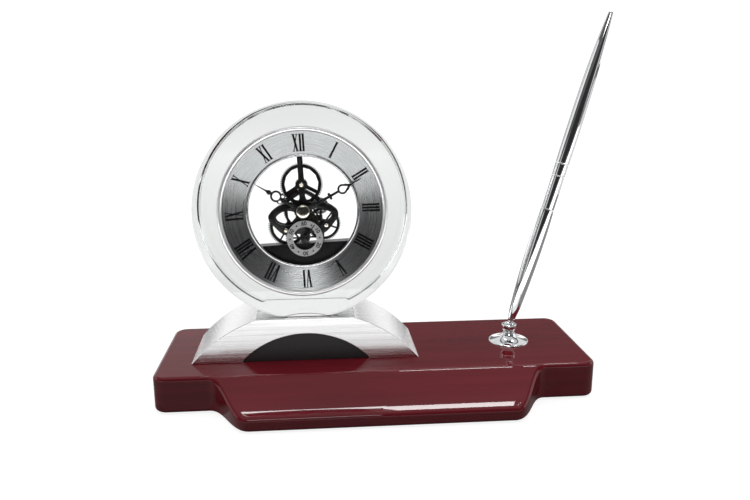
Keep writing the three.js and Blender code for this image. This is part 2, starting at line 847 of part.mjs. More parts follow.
// Wheel teeth are pointed and meet in a pointed gap, and pinion leaves stand apart on a round root
function wheelTeeth(axis, teeth, module, phase) {
  const pitchRadius = (teeth * module) / 2;
  const tip = pitchRadius + addendumShare * module;
  const root = pitchRadius - wheelRootShare * module;
  const pitch = (2 * Math.PI) / teeth;
  return Array.from({ length: teeth }, (_, i) => {
    const angle = phase + i * pitch;
    return [polar(axis, root, angle - pitch / 2), polar(axis, tip, angle)];
  }).flat();
}

function pinionLeaves(axis, teeth, module, phase) {
  const pitchRadius = (teeth * module) / 2;
  const tip = pitchRadius + addendumShare * module;
  const root = pitchRadius - pinionRootShare * module;
  const pitch = (2 * Math.PI) / teeth;
  return Array.from({ length: teeth }, (_, i) => {
    const angle = phase + i * pitch;
    return [
      polar(axis, root, angle - pinionLeafShare * pitch),
      polar(axis, tip, angle),
      polar(axis, root, angle + pinionLeafShare * pitch),
    ];
  }).flat();
}

// The window between two spokes
function spokeWindow(axis, inner, outer, from, to, half) {
  const innerTrim = Math.asin(half / inner);
  const outerTrim = Math.asin(half / outer);
  return [
    ...arc(axis[0], axis[1], outer, from + outerTrim, to - outerTrim, arcSteps),
    ...arc(axis[0], axis[1], inner, to - innerTrim, from + innerTrim, arcSteps / 2),
  ];
}

function spokedWheel(axis, teeth, module, front, spokes, width = spokeWidth) {
  const rimInner = (teeth * module) / 2 - wheelRootShare * module - rimWidth;
  const windows = [];
  for (let i = 0; i < spokes.count; i += 1) {
    const from = radians(spokes.first) + (2 * Math.PI * i) / spokes.count;
    const to = from + (2 * Math.PI) / spokes.count;
    windows.push(spokeWindow(axis, wheelHubRadius, rimInner, from, to, width / 2));
  }
  return slab(shapeOf(wheelTeeth(axis, teeth, module, 0), windows), front, front + wheelThickness);
}

function pinion(axis, teeth, module, phase, front) {
  const leaves = pinionLeaves(axis, teeth, module, phase);
  return slab(shapeOf(leaves), front - pinionOverlap, front + wheelThickness + pinionOverlap);
}

// Centre wheel, free on the centre arbor
function centreWheel() {
  const [x, z] = centreAxis;
  const front = plateBack + seatGap;
  const back = centreWheelFront + wheelThickness + layerGap / 2;
  const wheel = joined(
    spokedWheel(centreAxis, centreTeeth, centreModule, centreWheelFront, centreSpokes),
    rod(x, z, wheelHubRadius - pinionOverlap, front, back),
  );
  return cut(wheel, rod(x, z, centreArborRadius + seatGap, front - cutOverrun, back + cutOverrun));
}

// Third wheel and its pinion, on a stud of the back plate
function thirdWheel() {
  const [x, z] = thirdAxis;
  const front = centreWheelFront - pinionOverlap;
  const back = thirdWheelFront + wheelThickness + seatGap;
  const hub = studRadius + 2 * seatGap;
  const wheel = joined(
    spokedWheel(thirdAxis, thirdTeeth, thirdModule, thirdWheelFront, thirdSpokes),
    pinion(thirdAxis, thirdPinionTeeth, centreModule, thirdPinionPhase, centreWheelFront),
    rod(x, z, hub, front, back),
  );
  return cut(wheel, rod(x, z, studRadius + seatGap, front - cutOverrun, back + cutOverrun));
}

// Seconds wheel with its pinion and the arbor that carries the second hand
function secondsWheel() {
  const [x, z] = secondsAxis;
  return joined(
    spokedWheel(secondsAxis, secondsTeeth, secondsModule, secondsWheelFront, secondsSpokes),
    pinion(secondsAxis, secondsPinionTeeth, thirdModule, secondsPinionPhase, thirdWheelFront),
    rod(x, z, arborRadius, secondHandFront + handThickness, backPlateFront + backPlateThickness / 2),
  );
}

// Intermediate wheel and its pinion, on a stud of the back plate
function intermediateWheel() {
  const [x, z] = intermediateAxis;
  const front = secondsWheelFront - pinionOverlap;
  const back = intermediateWheelFront + wheelThickness + seatGap;
  const wheel = joined(
    spokedWheel(intermediateAxis, intermediateTeeth, rotorModule, intermediateWheelFront, intermediateSpokes),
    pinion(intermediateAxis, intermediatePinionTeeth, secondsModule, intermediatePinionPhase, secondsWheelFront),
    rod(x, z, studRadius + 3 * seatGap, front, back),
  );
  return cut(wheel, rod(x, z, studRadius + seatGap, front - cutOverrun, back + cutOverrun));
}

const rotorFront = intermediateWheelFront + wheelThickness + pinionOverlap + seatGap;
const statorFront = rotorFront + (rotorLength - statorThickness) / 2;

// Rotor magnet and pinion, on a stud of the back plate
function rotor() {
  const [x, z] = rotorAxis;
  const front = intermediateWheelFront - pinionOverlap;
  const back = rotorFront + rotorLength;
  const core = slimStudRadius + slimBoreGap;
  const body = joined(
    pinion(rotorAxis, rotorTeeth, rotorModule, rotorPinionPhase, intermediateWheelFront),
    rod(x, z, core + slimBoreGap, front, back),
    rod(x, z, rotorRadius, rotorFront, back, mediumRoundSteps),
  );
  return cut(body, rod(x, z, core, front - cutOverrun, back + cutOverrun));
}

// Top wheel with its pinion, on an arbor between the plates
function topWheel() {
  const [x, z] = topAxis;
  return joined(
    spokedWheel(topAxis, topTeeth, topModule, thirdWheelFront, topSpokes, topSpokeWidth),
    pinion(topAxis, topPinionTeeth, centreModule, topPinionPhase, centreWheelFront),
    rod(x, z, arborRadius, plateBack - plateThickness / 2, backPlateFront + backPlateThickness / 2),
  );
}

// Centre arbor with the cannon pinion, from the minute hand to the setting knob
const knobFront = rearCoverBack + seatGap;

function centreArbor() {
  const [x, z] = centreAxis;
  return joined(
    rod(x, z, centreArborRadius, minuteHandFront, knobFront + knobLength / 2),
    slab(shapeOf(pinionLeaves(centreAxis, cannonTeeth, motionModule, 0)), minuteWheelFront, minuteWheelBack),
  );
}

// Minute wheel and pinion, on a stud in front of the front plate
function minuteWheel() {
  const [x, z] = motionAxis;
  const core = slimStudRadius + slimBoreGap;
  const teeth = wheelTeeth(motionAxis, minuteWheelTeeth, motionModule, minuteWheelPhase);
  const leaves = pinionLeaves(motionAxis, minutePinionTeeth, motionModule, 0);
  const body = joined(
    slab(shapeOf(teeth), minuteWheelFront, minuteWheelBack),
    slab(shapeOf(leaves), hourWheelFront - pinionOverlap / 2, minuteWheelBack),
  );
  return cut(body, rod(x, z, core, hourWheelFront - cutOverrun, minuteWheelBack + cutOverrun));
}

// Hour wheel with the tube that carries the hour hand
function hourWheel() {
  const [x, z] = centreAxis;
  const bore = centreArborRadius + seatGap;
  const tubeFront = hourHandFront + handThickness / 2;
  const body = joined(
    slab(shapeOf(wheelTeeth(centreAxis, hourTeeth, motionModule, hourWheelPhase)), hourWheelFront, hourWheelBack),
    rod(x, z, bore + hourTubeWall, tubeFront, hourWheelBack, mediumRoundSteps),
  );
  return cut(body, rod(x, z, bore, tubeFront - cutOverrun, hourWheelBack + cutOverrun));
}

place(insert, 'centre_wheel', centreWheel(), 'blackMetal');
place(insert, 'third_wheel', thirdWheel(), 'blackMetal');
place(insert, 'seconds_wheel', secondsWheel(), 'blackMetal');
place(insert, 'intermediate_wheel', intermediateWheel(), 'blackMetal');
place(insert, 'rotor', rotor(), 'magnet');
place(insert, 'top_wheel', topWheel(), 'blackMetal');
place(insert, 'centre_arbor', centreArbor(), 'steel');
place(insert, 'minute_wheel', minuteWheel(), 'blackMetal');
place(insert, 'hour_wheel', hourWheel(), 'blackMetal');

// Plates of the movement

function mirrored(points) {
  return points.map(([x, z]) => [-x, z]).reverse();
}

function plateLoop(shares, side = 1) {
  return shares.map(([x, z]) => [side * x * plateHalfWidth, z * plateHalfWidth]);
}

function plateBody(front, back, barTop, bosses) {
  const half = plateLoop(plateOutlineShares);
  const outline = smoothLoop([...half, ...mirrored(half)], plateCurveSteps);
  const cutters = [-1, 1].map((side) => {
    const loop = shapeOf(smoothLoop(plateLoop(eyeCutShares, side), plateCurveSteps));
    return slab(loop, front - cutOverrun, back + cutOverrun);
  });
  const barHalf = plateBarWidth / 2;
  const body = cut(slab(shapeOf(outline), front, back), ...cutters);
  return joined(
    body,
    block(-barHalf, barHalf, front, back, topAxis[1], barTop),
    rod(topAxis[0], topAxis[1], plateBossRadius, front, back, mediumRoundSteps),
    rod(secondsAxis[0], secondsAxis[1], plateHubRadius, front, back, mediumRoundSteps),
    ...bosses.map(([x, z]) => rod(x, z, studBossRadius, front, back)),
  );
}

const topWheelReach = (topTeeth / 2 + addendumShare) * topModule;
const topPillarHeight = topAxis[1] + topWheelReach + topPillarMargin + pillarRadius;
const sideScrewPlaces = { left: [-leftScrewReach, -leftScrewDrop], right: [rightScrewReach, -rightScrewDrop] };

function frontPlate() {
  const [pillarX, pillarZ] = [0, topPillarHeight];
  const pivot = plateBack - plateThickness / 2 - seatGap;
  const body = joined(
    plateBody(plateFront, plateBack, caseInnerRadius - seatGap, Object.values(sideScrewPlaces)),
    rod(pillarX, pillarZ, pillarRadius + pinionOverlap, plateFront, plateBack),
    rod(motionAxis[0], motionAxis[1], slimStudRadius, hourWheelFront, plateBack),
  );
  const pinHoles = [sideScrewPlaces.left, sideScrewPlaces.right, topAxis].map(([x, z]) => rod(
    x, z, plateScrewPinRadius + seatGap / 2, plateFront - cutOverrun, plateFront + plateScrewPinDepth,
  ));
  return cut(
    body,
    rod(0, 0, centreArborRadius + seatGap, plateFront - cutOverrun, plateBack + cutOverrun),
    rod(secondsAxis[0], secondsAxis[1], arborRadius + seatGap, plateFront - cutOverrun, plateBack + cutOverrun),
    rod(topAxis[0], topAxis[1], arborRadius + seatGap, pivot, plateBack + cutOverrun),
    ...pinHoles,
  );
}

function backPlate() {
  const body = joined(
    plateBody(backPlateFront, backPlateBack, topPillarHeight + pillarRadius, [thirdAxis, intermediateAxis]),
    rod(0, topPillarHeight, pillarRadius + pinionOverlap, backPlateFront, backPlateBack),
    rod(thirdAxis[0], thirdAxis[1], studRadius, centreWheelFront - pinionOverlap, backPlateBack),
    rod(intermediateAxis[0], intermediateAxis[1], studRadius, secondsWheelFront - pinionOverlap, backPlateBack),
    rod(rotorAxis[0], rotorAxis[1], slimStudRadius, intermediateWheelFront - pinionOverlap, backPlateBack),
    rod(rotorAxis[0], rotorAxis[1], studBossRadius, backPlateFront, backPlateBack),
  );
  const holes = [[centreAxis, centreArborRadius], [secondsAxis, arborRadius], [topAxis, arborRadius]].map(
    ([[x, z], radius]) => rod(x, z, radius + seatGap, backPlateFront - cutOverrun, backPlateBack + cutOverrun),
  );
  return cut(body, ...holes);
}

function plateScrew([x, z]) {
  const back = plateFront - seatGap / 2;
  const front = back - plateScrewHeight;
  const screw = joined(
    rod(x, z, plateScrewRadius, front, back),
    rod(x, z, plateScrewPinRadius, front, plateFront + plateScrewPinDepth - seatGap / 2),
  );
  const slotHalf = plateScrewPinRadius / 3;
  return cut(screw, block(
    x - cutOverrun, x + cutOverrun, front - cutOverrun, front + plateScrewHeight / 2, z - slotHalf, z + slotHalf,
  ));
}

place(insert, 'front_plate', frontPlate(), 'blackMetal');
place(insert, 'back_plate', backPlate(), 'blackMetal');
place(insert, 'top_pillar', rod(0, topPillarHeight, pillarRadius, plateBack + seatGap, backPlateFront - seatGap), 'nickel');
place(insert, 'plate_screw_top', plateScrew(topAxis), 'nickel');
place(insert, 'plate_screw_left', plateScrew(sideScrewPlaces.left), 'nickel');
place(insert, 'plate_screw_right', plateScrew(sideScrewPlaces.right), 'nickel');

// Seconds dial on three posts

function secondsDial() {
  const [x, z] = secondsAxis;
  const back = secondsDialFront + secondsDialThickness;
  const ring = slab(shapeOf(
    round(x, z, secondsDialRadius, largeRoundSteps), [round(x, z, secondsDialOpening, mediumRoundSteps)],
  ), secondsDialFront, back);
  const postReach = (secondsDialRadius + secondsDialOpening) / 2;
  const posts = secondsPostBearings.map((bearing) => {
    const [postX, postZ] = bearingPlace(secondsAxis, postReach, bearing);
    return rod(postX, postZ, secondsPostRadius, secondsDialFront + secondsDialThickness / 2, plateFront - seatGap);
  });
  return joined(ring, ...posts);
}

place(insert, 'seconds_dial', secondsDial(), 'satinSilver');

// Battery box, its battery and contacts

// The part of a disc below a level line
function segment(radius, drop) {
  const side = Math.acos(drop / radius);
  return arc(0, 0, radius, -Math.PI / 2 - side, -Math.PI / 2 + side, 2 * archArcSteps);
}

// The box opens to the back, and slots in its top wall clear the wheels that dip below it
function batteryBox() {
  const outer = caseInnerRadius - seatGap;
  const back = plateFront + boxDepth;
  const slots = [
    [thirdAxis, thirdTeeth * thirdModule, thirdWheelFront],
    [secondsAxis, secondsTeeth * secondsModule, secondsWheelFront],
  ].map(([[x, z], pitchDiameter, front]) => rod(
    x, z, pitchDiameter / 2 + boxSlotMargin, front - seatGap, front + wheelThickness + seatGap, largeRoundSteps,
  ));
  return cut(
    slab(shapeOf(segment(outer, boxTopDrop)), plateFront, back),
    slab(shapeOf(segment(outer - boxWall, boxTopDrop + boxWall)), plateFront + boxWall, back + cutOverrun),
    ...slots,
  );
}

function batteryCell() {
  const half = batteryLength / 2;
  const profile = [
    [0, -half], [batteryRadius, -half], [batteryRadius, half], [batteryNubRadius, half],
    [batteryNubRadius, half + batteryNubLength], [0, half + batteryNubLength],
  ];
  const points = profile.map(([radius, place]) => new THREE.Vector2(radius, place));
  const geometry = new THREE.LatheGeometry(points, mediumRoundSteps).rotateZ(-Math.PI / 2);
  return solidOf(geometry.translate(0, plateFront + boxWall + seatGap + batteryRadius, -batteryDrop));
}

function contact(side) {
  const inner = batteryLength / 2 + (side > 0 ? batteryNubLength : 0) + seatGap;
  const [lowX, highX] = side > 0 ? [inner, inner + contactThickness] : [-inner - contactThickness, -inner];
  const front = plateFront + boxWall + seatGap;
  const half = contactHeight / 2;
  return block(lowX, highX, front, front + contactDepth, -batteryDrop - half, -batteryDrop + half);
}

place(insert, 'battery_box', batteryBox(), 'blackPlastic');
place(insert, 'battery_cell', batteryCell(), 'battery');
place(insert, 'battery_contact_left', contact(-1), 'nickel');
place(insert, 'battery_contact_right', contact(1), 'nickel');

// Motor

const coilAxis = bearingPlace(centreAxis, coilReach, coilBearing);
const coreReach = coilLength / 2 + statorArmWidth / 2 + 2 * seatGap;
const coreEnds = [-1, 1].map((side) => bearingPlace(coilAxis, side * coreReach, coilTilt));

function strip([fromX, fromZ], [toX, toZ], width, front, back) {
  const length = Math.hypot(toX - fromX, toZ - fromZ);
  const half = width / 2;
  const bearing = Math.atan2(toZ - fromZ, toX - fromX);
  const geometry = new THREE.BoxGeometry(length + width, back - front, width);
  geometry.rotateY(-bearing);
  return solidOf(geometry.translate((fromX + toX) / 2, (front + back) / 2, (fromZ + toZ) / 2));
}

function stator() {
  const [x, z] = rotorAxis;
  const back = statorFront + statorThickness;
  const hole = rotorRadius + 2 * seatGap;
  const eye = hole + statorEyeWall;
  const elbow = [coreEnds[0][0], z + statorEyeWall];
  const arms = joined(
    rod(x, z, eye, statorFront, back, mediumRoundSteps),
    strip(coreEnds[0], elbow, statorArmWidth, statorFront, back),
    strip(elbow, [x - eye + statorArmWidth, elbow[1]], statorArmWidth, statorFront, back),
    strip(coreEnds[1], [x, z + eye - statorArmWidth / 2], statorArmWidth, statorFront, back),
    strip(coreEnds[0], coreEnds[1], coreWidth, statorFront, back),
  );
  return cut(arms, rod(x, z, hole, statorFront - cutOverrun, back + cutOverrun, mediumRoundSteps));
}

// A round piece on the coil's axis
function onCoil(profile) {
  const points = profile.map(([radius, place]) => new THREE.Vector2(radius, place));
  const geometry = new THREE.LatheGeometry(points, mediumRoundSteps / 2).rotateZ(-Math.PI / 2);
  geometry.rotateY(-radians(coilTilt));
  return solidOf(geometry.translate(coilAxis[0], statorFront + statorThickness / 2, coilAxis[1]));
}

function coilBobbin() {
  const end = coilLength / 2 - seatGap;
  const flange = end - coilFlangeThickness;
  const body = onCoil([
    [0, -end], [coilFlangeRadius, -end], [coilFlangeRadius, -flange], [coilTubeRadius, -flange],
    [coilTubeRadius, flange], [coilFlangeRadius, flange], [coilFlangeRadius, end], [0, end],
  ]);
  const slotFront = statorFront - seatGap / 2;
  const slotBack = statorFront + statorThickness + seatGap / 2;
  return cut(body, strip(coreEnds[0], coreEnds[1], coreWidth + seatGap, slotFront, slotBack));
}

function coilWinding() {
  const end = coilLength / 2 - seatGap - coilFlangeThickness - windingGap;
  const inner = coilTubeRadius + windingGap;
  return onCoil([[inner, -end], [coilRadius, -end], [coilRadius, end], [inner, end], [inner, -end]]);
}

function circuitModule() {
  const back = backPlateFront - seatGap;
  const [halfWidth, halfHeight] = [circuitWidth / 2, circuitHeight / 2];
  return block(
    circuitX - halfWidth, circuitX + halfWidth, back - circuitDepth, back,
    -circuitDrop - halfHeight, -circuitDrop + halfHeight,
  );
}

place(insert, 'stator', stator(), 'steel');
place(insert, 'coil_bobbin', coilBobbin(), 'blackPlastic');
place(insert, 'coil_winding', coilWinding(), 'copper');
place(insert, 'circuit_module', circuitModule(), 'board');

// Hands, drawn upright and then turned to the time

function bar(from, to, fromWidth, toWidth, front, back) {
  return slab(shapeOf([
    [-fromWidth / 2, from], [fromWidth / 2, from], [toWidth / 2, to], [-toWidth / 2, to],
  ]), front, back);
}

function ringAt(x, z, radius, front, back) {
  const steps = smallRoundSteps + 2;
  return slab(shapeOf(round(x, z, radius, steps), [round(x, z, radius - handRingWall, steps)]), front, back);
}

function clockwise(solid, angle) {
  return moved(solid, new THREE.Matrix4().makeRotationY(radians(angle)));
}

function hourHand() {
  const front = hourHandFront;
  const back = front + handThickness;
  const ringPlace = hourHandLength * hourRingPlaceShare;
  const loopPlace = hourHandLength * hourLoopPlaceShare;
  const diamondPlace = hourHandLength * hourDiamondPlaceShare;
  const diamondHalf = hourDiamondWidth / 2;
  const body = joined(
    rod(0, 0, handHubRadius, front, back, mediumRoundSteps),
    bar(0, ringPlace - hourRingRadius + handRingWall, 2 * handStemWidth, handStemWidth, front, back),
    ringAt(-hourLoopSpread, loopPlace, hourLoopRadius, front, back),
    ringAt(hourLoopSpread, loopPlace, hourLoopRadius, front, back),
    ringAt(0, ringPlace, hourRingRadius, front, back),
    bar(ringPlace + hourRingRadius - handRingWall, hourHandLength, handStemWidth, handPointWidth, front, back),
    slab(shapeOf([
      [0, diamondPlace - diamondHalf], [diamondHalf, diamondPlace], [0, diamondPlace + diamondHalf],
      [-diamondHalf, diamondPlace],
    ]), front, back),
  );
  const bore = centreArborRadius + seatGap + hourTubeWall + seatGap / 2;
  return clockwise(cut(body, rod(0, 0, bore, front - cutOverrun, back + cutOverrun, mediumRoundSteps)), hourHandAngle);
}

function minuteHand() {
  const front = minuteHandFront;
  const back = front + handThickness;
  const ringPlace = minuteHandLength * minuteRingPlaceShare;
  const lobePlace = minuteHandLength * minuteLobePlaceShare;
  const crossPlace = minuteHandLength * minuteCrossPlaceShare;
  const crossHalf = minuteCrossSpan / 2;
  const tangent = minuteRingRadius - handRingWall;
  const body = joined(
    rod(0, 0, handHubRadius, front, back, mediumRoundSteps),
    bar(0, ringPlace - tangent, 1.5 * handStemWidth, handStemWidth, front, back),
    slab(shapeOf([
      [-crossHalf, crossPlace - minuteCrossWidth / 2], [crossHalf, crossPlace - minuteCrossWidth / 2],
      [crossHalf, crossPlace + minuteCrossWidth / 2], [-crossHalf, crossPlace + minuteCrossWidth / 2],
    ]), front, back),
    ringAt(0, ringPlace, minuteRingRadius, front, back),
    slab(shapeOf([
      [-tangent, ringPlace + tangent], [tangent, ringPlace + tangent], [0, ringPlace + minuteTeardropLength],
    ]), front, back),
    rod(-minuteLobeSpread, lobePlace, minuteLobeRadius, front, back),
    rod(minuteLobeSpread, lobePlace, minuteLobeRadius, front, back),
    bar(ringPlace + tangent, minuteHandLength, handStemWidth, handPointWidth, front, back),
  );
  const ringHole = rod(0, ringPlace, tangent, front - cutOverrun, back + cutOverrun, mediumRoundSteps);
  const bore = rod(0, 0, centreArborRadius + seatGap / 2, front - cutOverrun, back + cutOverrun);
  return clockwise(cut(body, ringHole, bore), minuteHandAngle);
}

function handCap() {
  const dome = arc(0, 0, 1, 0, Math.PI / 2, capDomeSteps).map(([across, rise]) => [
    across * capRadius, capFront + capHeight * (1 - rise),
  ]);
  return turned([[0, capFront + capHeight], ...dome], mediumRoundSteps);
}

function secondHand() {
  const front = secondHandFront;
  const back = front + handThickness;
  const body = joined(
    rod(0, 0, secondHubRadius, front, front + secondHubLength),
    bar(-secondHandTail, secondHandLength, secondHandWidth, handPointWidth, front, back),
  );
  const bore = rod(0, 0, arborRadius + seatGap / 2, back - seatGap / 2, back + cutOverrun);
  const turnedHand = clockwise(cut(body, bore), secondHandAngle);
  return moved(turnedHand, new THREE.Matrix4().makeTranslation(secondsAxis[0], 0, secondsAxis[1]));
}

place(insert, 'hour_hand', hourHand(), 'blackMetal');
place(insert, 'minute_hand', minuteHand(), 'blackMetal');
place(insert, 'hand_cap', handCap(), 'nickel');
place(insert, 'second_hand', secondHand(), 'blackMetal');

// Setting knob at the back

function settingKnob() {
  const outline = Array.from({ length: 2 * knobFlutes }, (_, i) => {
    const radius = i % 2 === 0 ? knobRadius : knobRadius - knobFluteDepth;
    return polar(centreAxis, radius, (Math.PI * i) / knobFlutes);
  });
  const bore = rod(
    0, 0, centreArborRadius + seatGap / 2, knobFront - cutOverrun, knobFront + knobLength / 2 + seatGap,
  );
  return cut(slab(shapeOf(outline), knobFront, knobFront + knobLength), bore);
}

place(insert, 'setting_knob', settingKnob(), 'blackPlastic');

// Pen holder, in a frame on the base's top face

const ballSpace = ballRadius + seatGap;

const holder = new THREE.Group();
holder.position.set(holderX, holderY, baseTop);
group.add(holder);

function holderDome() {
  const collarInner = cupStemRadius + seatGap;
  return turnedUp([
    [collarInner, 0], [domeRadius, 0], [domeRadius, domeRim], [domeSlopeRadius, domeSlopeHeight],
    [domeCrownRadius, domeCrownHeight], [domeCollarRadius + domeThickness / 2, (domeCrownHeight + domeHeight) / 2],
    [domeCollarRadius, domeHeight], [collarInner, domeHeight], [collarInner, 0],
  ], mediumRoundSteps);
}

function holderCup() {
  const pocket = seatRadius + seatGap;
  const floor = ballHeight - ballSpace - seatThickness - seatGap;
  const lipLow = cupHeight - cupLipThickness;
  const hollow = arc(
    0, ballHeight, ballSpace, -Math.acos(pocket / ballSpace), Math.asin((lipLow - ballHeight) / ballSpace), ballSteps,
  );
  return turnedUp([
    [0, floor], [pocket, floor], ...hollow, [cupLipRadius, lipLow], [cupLipRadius, cupHeight],
    [cupRadius - cupLipThickness, cupHeight], [cupRadius, lipLow],
    [cupBellyRadius, cupBellyHeight], [(cupBellyRadius + cupWaistRadius) / 2, (cupBellyHeight + cupWaistHeight) / 2],
    [cupWaistRadius, cupWaistHeight], [cupWaistRadius, domeHeight + seatGap], [cupStemRadius, domeHeight + seatGap],
    [cupStemRadius, -baseThickness + seatGap], [0, -baseThickness + seatGap],
  ], mediumRoundSteps);
}

// The seat under the ball is a small disc with a dished top
function ballSeat() {
  const low = ballHeight - ballSpace - seatThickness;
  const dish = arc(0, ballHeight, ballSpace, -Math.acos(seatRadius / ballSpace), -Math.PI / 2, ballSteps / 2);
  dish[dish.length - 1][0] = 0;
  return turnedUp([[0, low], [seatRadius, low], ...dish], mediumRoundSteps);
}

function nut() {
  const high = -baseThickness + counterboreDepth - seatGap - washerThickness - seatGap;
  const shape = shapeOf(
    round(0, 0, nutRadius, nutSides), [round(0, 0, cupStemRadius + seatGap, mediumRoundSteps / 2)],
  );
  return upright(shape, high - nutHeight, high);
}

function washer() {
  const high = -baseThickness + counterboreDepth - seatGap;
  const shape = shapeOf(
    round(0, 0, washerRadius, mediumRoundSteps), [round(0, 0, cupStemRadius + seatGap, mediumRoundSteps / 2)],
  );
  return upright(shape, high - washerThickness, high);
}

place(holder, 'holder_dome', holderDome(), 'chrome');
place(holder, 'holder_cup', holderCup(), 'chrome');
place(holder, 'ball_seat', ballSeat(), 'blackPlastic');
place(holder, 'holder_nut', nut(), 'steel');
place(holder, 'holder_washer', washer(), 'steel');

// Ball and pen, in a frame that leans about the middle of the ball

const penFrame = new THREE.Group();
penFrame.position.set(0, 0, ballHeight);
penFrame.rotation.y = radians(penLean);
holder.add(penFrame);

function swivelBall() {
  const bore = penPointRadius + seatGap;
  const mouth = Math.sqrt(ballRadius * ballRadius - bore * bore);
  const start = -Math.PI / 2;
  const side = arc(0, 0, ballRadius, start, Math.atan2(mouth, bore), ballSteps + 2);
  side[0][0] = 0;
  return turnedUp([...side, [bore, -penPointReach - seatGap], [0, -penPointReach - seatGap]], mediumRoundSteps);
}

function penPoint() {
  const spigot = penBarrelStartRadius - penWall;
  return turnedUp([
    [0, -penPointReach], [penPointTipRadius, -penPointReach], [penPointRadius, -penPointTipRadius],
    [penPointRadius, penNoseStart], [penNoseRadius, penNoseStart], [penBarrelStartRadius, penBarrelStart],
    [spigot - seatGap, penBarrelStart], [spigot - seatGap, penBarrelStart + penSpigotLength],
    [0, penBarrelStart + penSpigotLength],
  ], mediumRoundSteps);
}

function penLowerBarrel() {
  const start = penBarrelStart + seatGap;
  const end = penSleeveStart - seatGap;
  const swell = penBellyRadius - penBarrelStartRadius;
  const side = penBarrelSwellShares.map(([place, share]) => [
    penBarrelStartRadius + swell * share, start + (end - start) * place,
  ]);
  const neckBore = penBarrelStartRadius - penWall;
  const bore = penRefillRadius + seatGap;
  const neckEnd = start + penSpigotLength + seatGap;
  return turnedUp([
    [neckBore, start], [penBarrelStartRadius, start], ...side, [bore, end],
    [bore, neckEnd + penSpigotLength], [neckBore, neckEnd], [neckBore, start],
  ], mediumRoundSteps);
}

function penTube(start, end, startRadius, endRadius) {
  const bore = penRefillRadius + seatGap;
  return turnedUp([
    [bore, start], [startRadius, start], [endRadius, end], [bore, end], [bore, start],
  ], mediumRoundSteps);
}

function penUpperBarrel() {
  const bore = penRefillRadius + seatGap;
  const length = penEnd - penUpperStart;
  const swell = penUpperRadius - penEndRadius;
  const side = penUpperTaperShares.map(([place, share]) => [
    penEndRadius + swell * share, penUpperStart + length * place,
  ]);
  return turnedUp([
    [0, penUpperBoreEnd], [bore, penUpperBoreEnd], [bore, penUpperStart], [penUpperRadius, penUpperStart],
    ...side, [penEndRadius, penEnd], [0, penEnd],
  ], mediumRoundSteps);
}

function penRefill() {
  const start = penBarrelStart + seatGap + 2 * penSpigotLength + 2 * seatGap;
  return turnedUp([[0, start], [penRefillRadius, start], [penRefillRadius, penRefillEnd], [0, penRefillEnd]], smallRoundSteps);
}

place(penFrame, 'swivel_ball', swivelBall(), 'chrome');
place(penFrame, 'pen_point', penPoint(), 'steel');
place(penFrame, 'pen_lower_barrel', penLowerBarrel(), 'chrome');
place(penFrame, 'pen_sleeve', penTube(penSleeveStart, penBandStart - seatGap, penSleeveRadius, penSleeveRadius), 'chrome');
place(penFrame, 'pen_band', penTube(penBandStart, penUpperStart - seatGap, penBandRadius, penBandRadius), 'chrome');
place(penFrame, 'pen_upper_barrel', penUpperBarrel(), 'chrome');
place(penFrame, 'pen_refill', penRefill(), 'steel');

export default group;
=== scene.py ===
import contextlib
import json
import math

import bmesh
import bpy
from mathutils import Matrix, Vector


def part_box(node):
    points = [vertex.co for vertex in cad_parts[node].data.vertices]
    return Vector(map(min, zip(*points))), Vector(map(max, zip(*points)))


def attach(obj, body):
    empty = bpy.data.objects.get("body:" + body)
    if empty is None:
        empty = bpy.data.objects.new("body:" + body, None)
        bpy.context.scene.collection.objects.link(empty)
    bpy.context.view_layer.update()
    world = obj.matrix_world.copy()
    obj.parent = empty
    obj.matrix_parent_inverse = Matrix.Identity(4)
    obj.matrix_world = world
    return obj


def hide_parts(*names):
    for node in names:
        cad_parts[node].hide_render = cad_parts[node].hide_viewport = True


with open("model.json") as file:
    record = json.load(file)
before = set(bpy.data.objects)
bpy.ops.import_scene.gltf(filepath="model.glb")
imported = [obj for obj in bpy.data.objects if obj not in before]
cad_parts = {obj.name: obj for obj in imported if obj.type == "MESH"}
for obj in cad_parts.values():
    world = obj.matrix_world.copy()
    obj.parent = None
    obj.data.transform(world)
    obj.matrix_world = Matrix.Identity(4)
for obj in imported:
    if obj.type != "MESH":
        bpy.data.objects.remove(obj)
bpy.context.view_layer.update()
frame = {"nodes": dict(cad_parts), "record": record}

nodes = frame["nodes"]
body_of = {
    node: body for body, members in frame["record"]["behaviour"]["bodies"].items() for node in members
}

# The object's lengths are in millimetres, and the stage and the camera's place are in metres. In the frame
# of the disc and of the insert X runs to the right, Y back from the crystal's front face, and Z up.
MM = 0.001
TURN = 2 * math.pi

# Camera, with its turns in degrees
CAMERA_PLACE = (-0.0315, -0.36226, 0.16614)
CAMERA_TURN = -4.928
CAMERA_PITCH = 13.697
CAMERA_ROLL = -0.089
CAMERA_LENS = 34.143
CAMERA_CLIP = (0.01, 100)
SENSOR_WIDTH = 36

# Wooden base
BASE_HALF_WIDTH = 115
BASE_BACK = 49
BASE_FRONT = -49
BASE_SHOULDER = -25
BASE_BOTTOM = 0.8
BASE_TOP = 20
BASE_CORNER = 7
BASE_CORNER_STEPS = 12
BASE_EDGE = 2
BASE_EDGE_STEPS = 6
TONGUE_HALF = 66
TONGUE_FLARE = 22
FLARE_HANDLES = (0.39, 0.41)
FLARE_STEPS = 44
LIP_TOP = 8
RAMP_BACK = -25.3
CREASE_HALF = 0.9
RAMP_RUN = (0.3, 0.72)
RAMP_DROP = (0.36, 0.87)
RAMP_HALVINGS = 40

